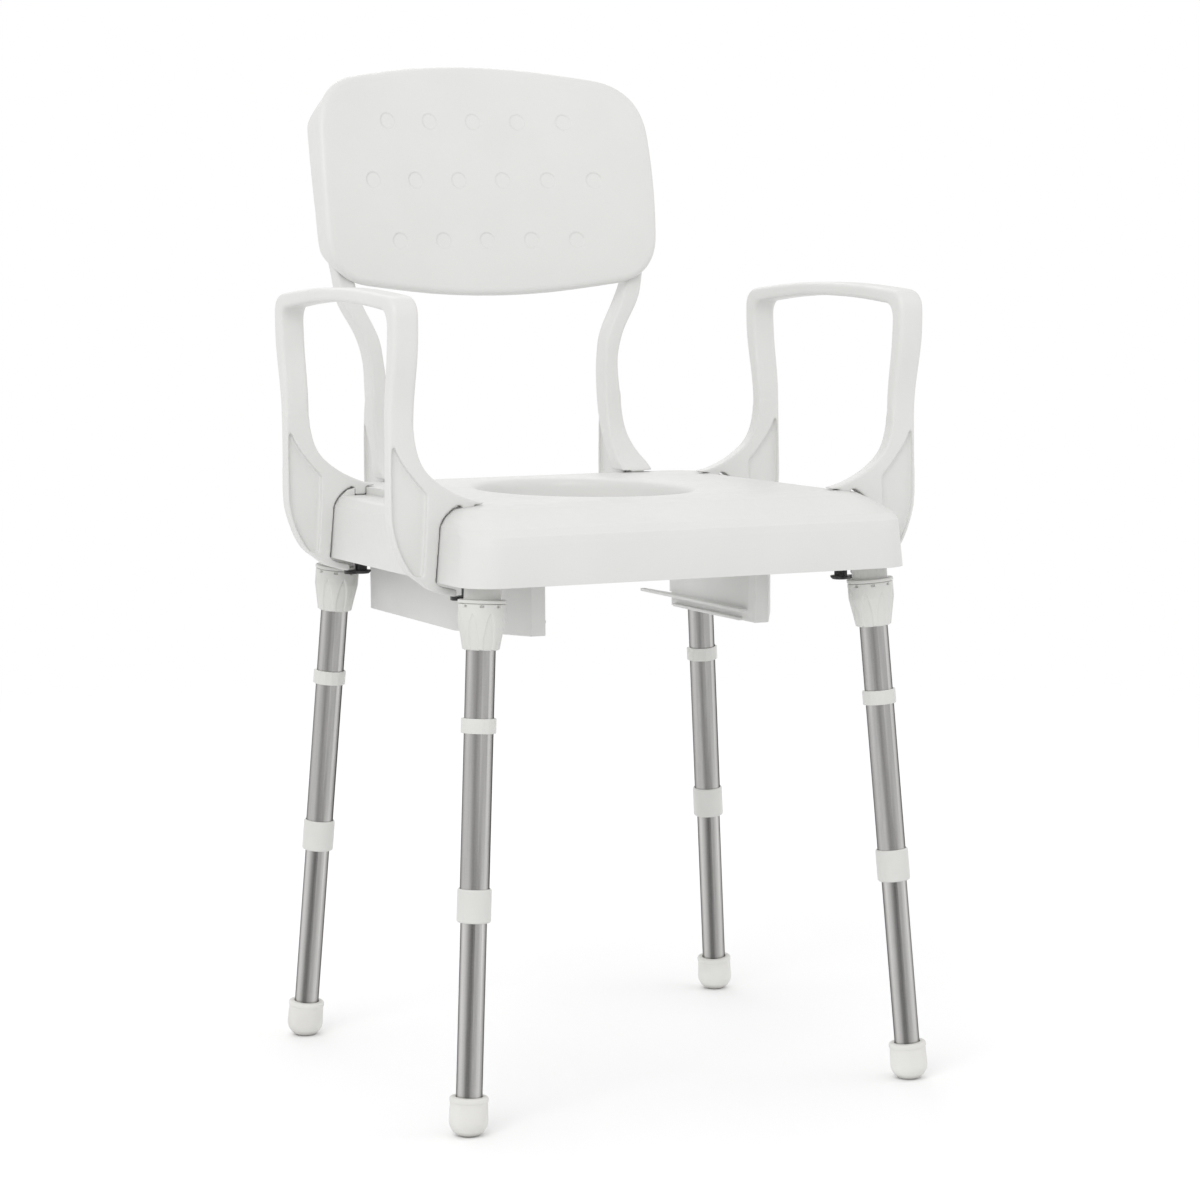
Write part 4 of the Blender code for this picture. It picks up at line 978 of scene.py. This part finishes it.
    def build_arms(self) -> None:
        """Both armrests."""
        seat = self.seat
        low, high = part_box("armrest_right")
        top = high.z
        width = 0.0266
        post = seat.hook_width - 0.0002
        waist = seat.arm_hook_y + post / 2
        outer = [
            (waist, seat.top - 0.003),
            (waist, seat.top + 0.077),
            (waist + 0.0025, seat.top + 0.097),
            (waist + 0.0075, seat.top + 0.117),
            (waist + 0.0130, seat.top + 0.137),
            (waist + 0.0165, seat.top + 0.157),
            (waist + 0.0165, top - 0.0085, 0.023),
            (0.075, top - 0.0015),
        ]
        inner = [
            (0.075, top - 0.0160),
            (waist - 0.0025, top - 0.0225, 0.017),
            (waist - 0.0055, seat.top + 0.142),
            (waist - 0.0118, seat.top + 0.112),
            (waist - post, seat.top + 0.088),
            (waist - post, seat.top + 0.045),
            (waist - post, seat.top - 0.003),
        ]
        right = [(*outer[0], post / 2), *outer[1:]]
        right_inner = [*inner[:-1], (*inner[-1], post / 2)]
        across = [(0.0, top)]
        under = [(0.0, top - 0.0135)]
        left = [(-corner[0], *corner[1:]) for corner in reversed(right)]
        left_inner = [(-corner[0], *corner[1:]) for corner in reversed(right_inner)]
        outline = softened([*right, *across, *left, *left_inner, *under, *right_inner], 8)
        centre = high.x - width / 2
        arm = plate("arm", outline, width, Plane.YZ.at(centre), 0.0048)
        branch = [
            (-0.0495, seat.top + 0.0013, 0.0008),
            (-0.0488, seat.top + 0.0028, 0.0008),
            (-0.0388, seat.top + 0.0045),
            (-0.0227, seat.top + 0.0105),
            (-0.0070, seat.top + 0.0190),
            (0.0090, seat.top + 0.0320),
            (0.0165, seat.top + 0.0450),
            (0.0205, seat.top + 0.0620),
            (0.0210, seat.top + 0.0700),
        ]
        head = [(0.0225, seat.top + 0.078, 0.001), (0.0455, seat.top + 0.078, 0.001)]
        shape = self.hook_outline(branch, head)
        for end in (-1, 1):
            self.add_clasp(arm, seat.half_width, shape, Plane.XZ, -end * seat.arm_hook_y)
        blended(arm, 0.0012, 5)
        self.shifted(arm)
        other = self.mirrored(arm, "arm")
        self.finish(arm, "armrest_right", "white_polypropylene", 60.0)
        self.finish(other, "armrest_left", "white_polypropylene", 60.0)

    # -------------------------------------------------------------- back

    def panel_front(self, x: np.ndarray, height: np.ndarray) -> np.ndarray:
        """Y of the backrest's front face at heights over the seat's top."""
        t = height - 0.3120
        bow = 0.0282 + 0.1125 * t
        return self.seat.half_depth + 0.0267 + 0.1819 * t + 0.5327 * t * t + bow * (1 - (x / 0.190) ** 2)

    def build_panel(self) -> None:
        """The bowed backrest with its edge turned back."""
        low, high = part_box("backrest_panel")
        half = high.x
        top = high.z - self.seat.top
        bottom = low.z - self.seat.top
        top_corner = top - half**2 / 1.5 + 0.004
        bottom_corner = bottom + half**2 / 1.8 - 0.003
        xs = [half * share for share in (0.2, 0.45)]
        right = [(0.0, top), *[(x, top - x * x / 1.5) for x in xs]]
        right += [(half - 0.0065, top_corner, 0.054), (half, top - 0.130)]
        right += [(half - 0.0045, bottom_corner, 0.046)]
        right += [(x, bottom + x * x / 1.8) for x in reversed(xs)] + [(0.0, bottom)]
        left = [(-corner[0], *corner[1:]) for corner in reversed(right[1:-1])]
        outline = even(softened([*right, *left], 12), 0.0026)
        inward = inward_of(outline)
        middle = np.array([0.0, (top + bottom) / 2])
        edge = 0.008
        rings = []
        for share in np.linspace(0.02, 0.93, 30):
            ring = middle + (outline + inward * edge - middle) * share
            rings.append(np.column_stack([ring[:, 0], self.panel_front(ring[:, 0], ring[:, 1]), ring[:, 1]]))
        for angle in np.linspace(0, math.pi / 2, 8):
            ring = outline + inward * edge * (1 - math.sin(angle))
            depth = self.panel_front(ring[:, 0], ring[:, 1]) + edge * (1 - math.cos(angle))
            rings.append(np.column_stack([ring[:, 0], depth, ring[:, 1]]))
        x, height = outline[:, 0], outline[:, 1]
        rise = smooth_step((height - bottom - 0.022) / 0.028)
        shoulder = top - half**2 / 1.5 - 0.045
        rise *= 1 - smooth_step((height - shoulder) / 0.036)
        side = smooth_step((np.abs(x) - half * 0.62) / (half * 0.33))
        deep = 0.0325 + 0.105 * np.maximum(0.0, height - 0.282)
        rim = 0.0085 + (deep - 0.0085) * rise * side
        front = self.panel_front(x, height)
        for share in np.linspace(0.25, 1, 8):
            rings.append(np.column_stack([x, front + edge + (rim - edge) * share, height]))
        points = np.array(rings)
        points[:, :, 2] += self.seat.top
        round_step = np.roll(points, -1, axis=1) - np.roll(points, 1, axis=1)
        normal = np.cross(round_step, np.gradient(points, axis=0))
        normal /= np.linalg.norm(normal, axis=2, keepdims=True)
        normal *= -np.sign(normal[0, 0, 1])
        inside = points - normal * 0.0035
        panel = surface("panel", np.concatenate([points, inside[::-1]]), cap_ends=True)
        self.finish(self.shifted(panel), "backrest_panel", "panel_polypropylene", 50.0)

    def build_uprights(self) -> None:
        """Both uprights: a flaring column over a clasp."""
        seat = self.seat
        stations = np.array(UPRIGHT_STATIONS)
        heights = stations[:, 0]
        depth = 0.024 + np.maximum(0.0, 0.020 - heights) * 0.6 + 0.004 * smooth_step((heights - 0.04) / 0.05)
        rows = np.column_stack(
            [
                heights,
                seat.back_hook_x + stations[:, 1],
                seat.back_hook_x + stations[:, 2],
                seat.half_depth + stations[:, 3],
                seat.half_depth + stations[:, 3] + depth,
            ]
        )
        low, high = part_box("backrest_panel")
        top = high.z - seat.top - 0.075
        bottom = low.z - seat.top + 0.016
        steps = np.arange(6)
        upper = bottom + (top - bottom) * steps / 5
        outer = high.x - 0.0035 - 0.0005 - 0.0125 + 0.0080 * smooth_step(steps / 1.6)
        inner = outer - 0.0200
        front = self.panel_front(inner, upper) + 0.0085 + 0.0020
        rows = np.vstack([rows, np.column_stack([upper, outer, inner, front, front + 0.020])])
        path = softened_path(rows, [math.inf] * len(rows), 4, closed=False)
        rings = []
        for height, outer_x, inner_x, front_y, rear_y in path:
            soft = 0.0045
            corners = [(outer_x, front_y), (outer_x, rear_y), (inner_x, rear_y), (inner_x, front_y)]
            plan = softened(corners, 6, reach=soft)
            rings.append(np.column_stack([plan, np.full(len(plan), seat.top + height)]))
        column = surface("column", np.array(rings), cap_ends=True)
        branch = [
            (-0.0430, seat.top + 0.0013, 0.0006),
            (-0.0400, seat.top + 0.0030),
            (-0.0240, seat.top + 0.0130),
            (-0.0100, seat.top + 0.0230),
            (0.0040, seat.top + 0.0380),
            (0.0130, seat.top + 0.0540),
            (0.0165, seat.top + 0.0700),
        ]
        head = [(0.0170, seat.top + 0.0900), (0.0400, seat.top + 0.0900), (0.0461, seat.top + 0.0560)]
        shape = self.hook_outline(branch, head)
        self.add_clasp(column, seat.half_depth, shape, Plane.YZ, seat.back_hook_x)
        blended(column, 0.0011, 5)
        self.shifted(column)
        other = self.mirrored(column, "column")
        self.finish(column, "back_upright_right", "white_polypropylene", 60.0)
        self.finish(other, "back_upright_left", "white_polypropylene", 60.0)

    # -------------------------------------------------------------- small pieces

    def build_small(self) -> None:
        """Rails, latches and screws: the CAD's own shapes with rounded edges."""
        for side in ("left", "right"):
            self.finish(refined(f"pan_rail_{side}", 0.0005), f"pan_rail_{side}", "white_polypropylene")
            for end in ("front", "rear"):
                screw = f"{side}_rail_screw_{end}"
                self.finish(refined(screw, 0.0002), screw, "stainless_steel")
                latch = f"{end}_{side}_arm_latch"
                self.finish(refined(latch, 0.0006, 50.0), latch, "black_nylon")
            latch = f"{side}_back_latch"
            self.finish(refined(latch, 0.0006, 50.0), latch, "black_nylon")


# Each station of the right upright: height over the seat's top, then its outer and inner side out from
# the hook's centre line, and its front face back from the seat's rear edge.
UPRIGHT_STATIONS = (
    (0.0022, 0.0175, -0.0172, -0.0420),
    (0.0050, 0.0174, -0.0170, -0.0400),
    (0.0120, 0.0170, -0.0168, -0.0270),
    (0.0220, 0.0129, -0.0151, -0.0129),
    (0.0370, 0.0096, -0.0135, 0.0015),
    (0.0520, 0.0082, -0.0125, 0.0097),
    (0.0670, 0.0078, -0.0121, 0.0138),
    (0.0820, 0.0075, -0.0116, 0.0159),
    (0.0970, 0.0069, -0.0109, 0.0184),
    (0.1120, 0.0066, -0.0102, 0.0204),
    (0.1270, 0.0076, -0.0085, 0.0218),
    (0.1420, 0.0114, -0.0067, 0.0226),
    (0.1570, 0.0171, -0.0018, 0.0240),
    (0.1870, 0.0355, 0.0144, 0.0263),
)


# ------------------------------------------------------------------ legs


def leg_frames() -> dict[str, Matrix]:
    """Each leg's frame from its nut's joint: origin on the joint, Z up the leg and -Y to its front."""
    frames = {}
    for joint in frame["joints"]:
        if not joint["name"].endswith("_nut_turn"):
            continue
        up = Vector(joint["axis"]).normalized()
        across = Vector((0, 1, 0)).cross(up).normalized()
        turn = Matrix((across, up.cross(across), up)).transposed().to_4x4()
        frames[joint["name"].removesuffix("_nut_turn")] = Matrix.Translation(joint["pos_m"]) @ turn
    return frames


def leg_length(place: Matrix, height: float) -> float:
    """Distance up a leg's axis to a world height."""
    return (height - place.translation.z) / place.col[2].z


def span(node: str, place: Matrix) -> tuple[float, float, float]:
    """Lowest and highest point of a CAD node along a leg, and its widest radius."""
    vertices = frame["nodes"][node].data.vertices
    flat = np.empty(len(vertices) * 3, np.float32)
    vertices.foreach_get("co", flat)
    inverse = np.array(place.inverted())
    local = flat.reshape(-1, 3) @ inverse[:3, :3].T + inverse[:3, 3]
    return float(local[:, 2].min()), float(local[:, 2].max()), float(np.hypot(local[:, 0], local[:, 1]).max())


@dataclass
class Leg:
    """One telescopic leg.

    Attributes:
        chair: Finishes the pieces.
        name: The leg's name in the CAD.
        place: Its frame.
    """

    chair: Chair
    name: str
    place: Matrix
    tube: float = 0.0140
    slim_tube: float = 0.0125
    fit: float = 0.0003
    flutes: int = 8
    hole_pitch: float = 0.025
    holes: int = 7

    def node(self, piece: str) -> str:
        """The CAD name of one of this leg's pieces."""
        return f"{self.name}_{piece}"

    def build(self) -> None:
        """Makes every piece of the leg."""
        self.build_socket()
        self.build_nut()
        self.build_tubes()
        self.build_clip()
        self.build_collar()
        self.build_foot()

    def build_socket(self) -> None:
        """The moulding in the seat's boss, with its flange."""
        node = self.node("leg_socket")
        low, top, wide = span(node, self.place)
        neck, bore = 0.0175, self.tube + self.fit
        profile = softened(
            [
                (neck, top, 0.0006),
                (neck, low + 0.0035, 0.0010),
                (wide, low + 0.0035, 0.0011),
                (wide, low, 0.0011),
                (bore, low, 0.0004),
                (bore, top, 0.0004),
            ],
            5,
        )
        self.chair.finish(turned(node, profile, self.place), node, "white_nylon")

    def build_nut(self) -> None:
        """The grip under the flange, with pointed flutes and a slotted shoulder."""
        node = self.node("grip_nut")
        low, top, wide = span(node, self.place)
        bore = self.tube + self.fit
        narrow = 0.0175
        columns = self.flutes * 36
        angle = swept(0, 2 * math.pi, columns)
        grip = np.linspace(low + 0.001, top - 0.0035, 64)
        height = np.concatenate([grip, np.linspace(top - 0.003, top - 0.0006, 8)])
        share = (height - low) / (top - low)
        body = narrow + (wide - narrow) * np.clip(share / 0.65, 0, 1) ** 1.05
        pitch = 2 * math.pi / self.flutes
        off = np.abs((angle + pitch / 2) % pitch - pitch / 2) / (pitch / 2)
        arch = 0.80 * np.sqrt(np.clip((0.80 - share) / 0.55, 0, 1))
        groove = smooth_step((arch[:, None] - off[None, :]) / 0.22)
        radius = body[:, None] - 0.0011 * groove
        slot = smooth_step((0.24 - np.abs(angle % pitch - pitch / 2) / (pitch / 2)) / 0.06)
        radius[-8:-2] -= 0.0022 * slot[None, :]
        rings = [(np.full(columns, radius[0].min() - 0.0008), low)]
        rings += list(zip(radius, height))
        rings.append((radius[-1] - 0.0006, top))
        rings.append((np.full(columns, bore), top))
        rings += [(np.full(columns, bore), level) for level in np.linspace(top, low, 8)[1:]]
        points = np.array(
            [np.stack([r * np.cos(angle), r * np.sin(angle), np.full(columns, z)], axis=1) for r, z in rings]
        )
        nut = surface(node, points, wrap_rows=True, place=self.place)
        self.chair.finish(nut, node, "white_nylon", 45.0)

    def drilled(self, tube: bpy.types.Object, heights: Iterable[float]) -> bpy.types.Object:
        """Drills the pin's holes through the front of a tube."""
        drills = [
            rod("drill", 0.0066, self.place @ Vector((0, 0, height)), self.place @ Vector((0, -0.03, height)))
            for height in heights
        ]
        return cut(tube, *drills)

    def tube_profile(self, radius: float, wall: float, low: float, top: float) -> np.ndarray:
        """Wall of a tube, with broken edges."""
        edge = 0.0003
        outer = [(radius - edge, top), (radius, top - edge), (radius, low + edge), (radius - edge, low)]
        inner = [(radius - wall + edge, low), (radius - wall, low + edge), (radius - wall, top - edge)]
        return np.array([*outer, *inner, (radius - wall + edge, top)])

    def build_tubes(self) -> None:
        """The drawn tubes."""
        clip_low, clip_top, _ = span(self.node("height_clip"), self.place)
        pin = (clip_low + clip_top) / 2
        node = self.node("outer_tube")
        low, top, wide = span(node, self.place)
        tube = turned(node, self.tube_profile(wide, 0.0012, low, top), self.place)
        self.chair.finish(self.drilled(tube, [pin]), node, "anodised_aluminium")
        node = self.node("inner_tube")
        low, top, wide = span(node, self.place)
        tube = turned(node, self.tube_profile(wide, 0.0015, low, top), self.place)
        holes = [pin - self.hole_pitch * hole for hole in range(self.holes)]
        self.chair.finish(self.drilled(tube, holes), node, "anodised_aluminium")

    def build_clip(self) -> None:
        """The lock ring: facets round the front, open to the rear, with its pin."""
        node = self.node("height_clip")
        low, top, _ = span(node, self.place)
        inner = self.tube + self.fit
        outer = inner + 0.0021
        tail = 0.0050
        facets = -math.pi * np.linspace(0, 1, 8)
        ring = [(outer, tail, 0.0004)]
        ring += [(outer * 1.01 * math.cos(a), outer * 1.01 * math.sin(a), 0.0006) for a in facets]
        ring += [(-outer, tail, 0.0004), (-inner, tail, 0.0003)]
        ring += [(inner * math.cos(a), inner * math.sin(a), 0.0002) for a in -math.pi * np.linspace(1, 0, 41)]
        ring += [(inner, tail, 0.0003)]
        height = (low + top) / 2
        clip = plate(node, softened(ring, 2), top - low, self.place @ Plane.XY.at(height), 0.0007, 0.0004)
        ends = [self.place @ Vector((0, y, height)) for y in (-inner + 0.006, -inner - 0.001)]
        pin = rod("pin", 0.0060, *ends)
        self.chair.finish(join(clip, pin), node, "white_nylon", 20.0)

    def build_collar(self) -> None:
        """The guide at the outer tube's lower end."""
        node = self.node("guide_collar")
        low, top, wide = span(node, self.place)
        tube_low, _, _ = span(self.node("outer_tube"), self.place)
        snug, slim = self.tube + self.fit, self.slim_tube + self.fit
        profile = softened(
            [
                (wide - 0.0010, top, 0.0006),
                (wide, top - 0.0014, 0.0006),
                (wide, low + 0.0014, 0.0006),
                (wide - 0.0010, low, 0.0006),
                (slim, low, 0.0004),
                (slim, tube_low - self.fit, 0.0002),
                (snug, tube_low - self.fit, 0.0002),
                (snug, top, 0.0004),
            ],
            4,
        )
        self.chair.finish(turned(node, profile, self.place), node, "white_nylon")

    def build_foot(self) -> None:
        """The rubber foot with a thick lip and a worn dome."""
        node = self.node("foot")
        low, top, wide = span(node, self.place)
        bore = self.slim_tube + self.fit
        round_to = 0.0155
        dome = [
            (wide - round_to * (1 - math.cos(a)), 0.0143 - round_to * math.sin(a), 0.0005)
            for a in np.linspace(0, 1.5, 9)
        ]
        profile = softened(
            [
                (bore, top, 0.0008),
                (wide - 0.0016, top, 0.0014),
                (wide, top - 0.0012, 0.0012),
                (wide, top - 0.0046, 0.0010),
                (wide - 0.0007, top - 0.0056, 0.0008),
                (wide - 0.0004, top - 0.0120),
                *dome,
                (0.0, -0.0012, 0.0001),
                (0.0, 0.0077, 0.0001),
                (bore, 0.0077, 0.0004),
            ],
            4,
        )
        foot = turned(node, profile, self.place, 128, level_at=CAD_BOX[0].z)
        self.chair.finish(foot, node, "white_rubber")


# ------------------------------------------------------------------ studio


@dataclass(frozen=True)
class Softbox:
    """One area light.

    Attributes:
        place: Where it hangs.
        size: Side of its square, in metres.
        power: Watts.
    """

    place: tuple[float, float, float]
    size: float
    power: float


@dataclass(frozen=True)
class Studio:
    """Floor, light and camera. Angles are in degrees and lengths in metres.

    Attributes:
        azimuth: How far round from the front the camera stands; negative is to the chair's left as seen.
        elevation: How far the view looks down.
        roll: Turn about the view's own axis.
        distance: From the camera to its target.
        lens: Focal length in millimetres on a 36 mm sensor.
        target: The point looked at.
        surround: sRGB hex colour of the sky and of the far floor.
        floor_fade: Distances from the middle over which the floor turns into the surround.
        softboxes: The area lights.
    """

    azimuth: float = -24.72
    elevation: float = 6.126
    roll: float = -0.43
    distance: float = 3.2647
    lens: float = 95.82
    target: tuple[float, float, float] = (0.0058, -0.0465, 0.4726)
    surround: str = "#ffffff"
    floor_fade: tuple[float, float] = (1.2, 3.0)
    softboxes: tuple[Softbox, ...] = (
        Softbox((-2.6, -2.4, 3.0), 2.4, 45.0),
        Softbox((2.8, -1.2, 2.2), 2.0, 8.0),
        Softbox((0.4, 2.8, 2.6), 2.2, 12.0),
    )

    def build(self, painter: Painter) -> None:
        """Makes the floor, the lights, the sky and the camera."""
        self.build_floor()
        self.build_sky()
        for index, softbox in enumerate(self.softboxes):
            light = bpy.data.lights.new(f"softbox_{index}", "AREA")
            light.size = softbox.size
            light.energy = softbox.power
            lamp = bpy.data.objects.new(light.name, light)
            lamp.location = softbox.place
            aim = Vector((0, 0, 0.5)) - Vector(softbox.place)
            lamp.rotation_mode = "QUATERNION"
            lamp.rotation_quaternion = aim.to_track_quat("-Z", "Y")
            bpy.context.scene.collection.objects.link(lamp)
        self.build_camera()

    def build_floor(self) -> None:
        """A wide pale floor that turns into the surround's own white far out, so no horizon shows."""
        size = 40.0
        shape = bmesh.new()
        bmesh.ops.create_grid(shape, x_segments=1, y_segments=1, size=size)
        mesh = bpy.data.meshes.new("floor")
        shape.to_mesh(mesh)
        shape.free()
        floor = new_object("floor", mesh)
        floor.location.z = -0.0002
        material = bpy.data.materials.new("floor")
        material.use_nodes = True
        tree = material.node_tree
        tree.nodes.clear()
        place = add(tree, "ShaderNodeTexCoord").outputs["Object"]
        slow = noise(tree, place, 900.0, 2.0)
        finish = Finish("floor", Surface.FLOOR, "#f6f6f6", "#f3f3f3", 0.6)
        colour = tinted(tree, spread_to(tree, slow, 0.0, 1.0), finish)
        shader = add(tree, "ShaderNodeBsdfPrincipled", {"Base Color": colour, "Roughness": 0.9})
        glow = add(tree, "ShaderNodeEmission", {"Color": linear(self.surround), "Strength": 1.0})
        out = add(tree, "ShaderNodeVectorMath", {0: place}, operation="LENGTH").outputs["Value"]
        inputs = {"Value": out, "From Min": self.floor_fade[0], "From Max": self.floor_fade[1]}
        far = add(tree, "ShaderNodeMapRange", inputs, interpolation_type="SMOOTHSTEP").outputs[0]
        mixed = add(tree, "ShaderNodeMixShader", {0: far, 1: shader.outputs["BSDF"], 2: glow.outputs[0]})
        add(tree, "ShaderNodeOutputMaterial", {"Surface": mixed.outputs[0]})
        mesh.materials.append(material)

    def build_sky(self) -> None:
        """An even pale surround."""
        world = bpy.data.worlds.new("surround")
        world.use_nodes = True
        bpy.context.scene.world = world
        tree = world.node_tree
        tree.nodes.clear()
        light = add(tree, "ShaderNodeBackground", {"Color": linear(self.surround), "Strength": 1.0})
        add(tree, "ShaderNodeOutputWorld", {"Surface": light.outputs[0]})
        bpy.context.scene.view_settings.view_transform = "Standard"

    def build_camera(self) -> None:
        """The camera, looking down a little from the chair's left."""
        data = bpy.data.cameras.new("camera")
        data.sensor_width = 36.0
        data.lens = self.lens
        data.clip_end = 100.0
        camera = bpy.data.objects.new("camera", data)
        azimuth, elevation = math.radians(self.azimuth), math.radians(self.elevation)
        back = Vector(
            (
                math.sin(azimuth) * math.cos(elevation),
                -math.cos(azimuth) * math.cos(elevation),
                math.sin(elevation),
            )
        )
        camera.location = Vector(self.target) + back * self.distance
        camera.rotation_mode = "QUATERNION"
        roll = Quaternion((0, 0, 1), math.radians(self.roll))
        camera.rotation_quaternion = (-back).to_track_quat("-Z", "Y") @ roll
        bpy.context.scene.collection.objects.link(camera)
        bpy.context.scene.camera = camera


def main() -> None:
    """Builds the looks and the studio, and logs the pieces' triangle counts."""
    logging.basicConfig(level=logging.INFO)
    painter = Painter()
    chair = Chair(painter, SeatSizes.measured())
    chair.build_seat()
    chair.build_arms()
    chair.build_panel()
    chair.build_uprights()
    chair.build_small()
    for name, place in leg_frames().items():
        Leg(chair, name, place).build()
    Studio().build(painter)
    counts = [sum(len(face.vertices) - 2 for face in obj.data.polygons) for obj in chair.pieces]
    LOG.info("%d pieces, %d triangles, most %s", len(counts), sum(counts), max(counts))


if __name__ == "__main__":
    main()
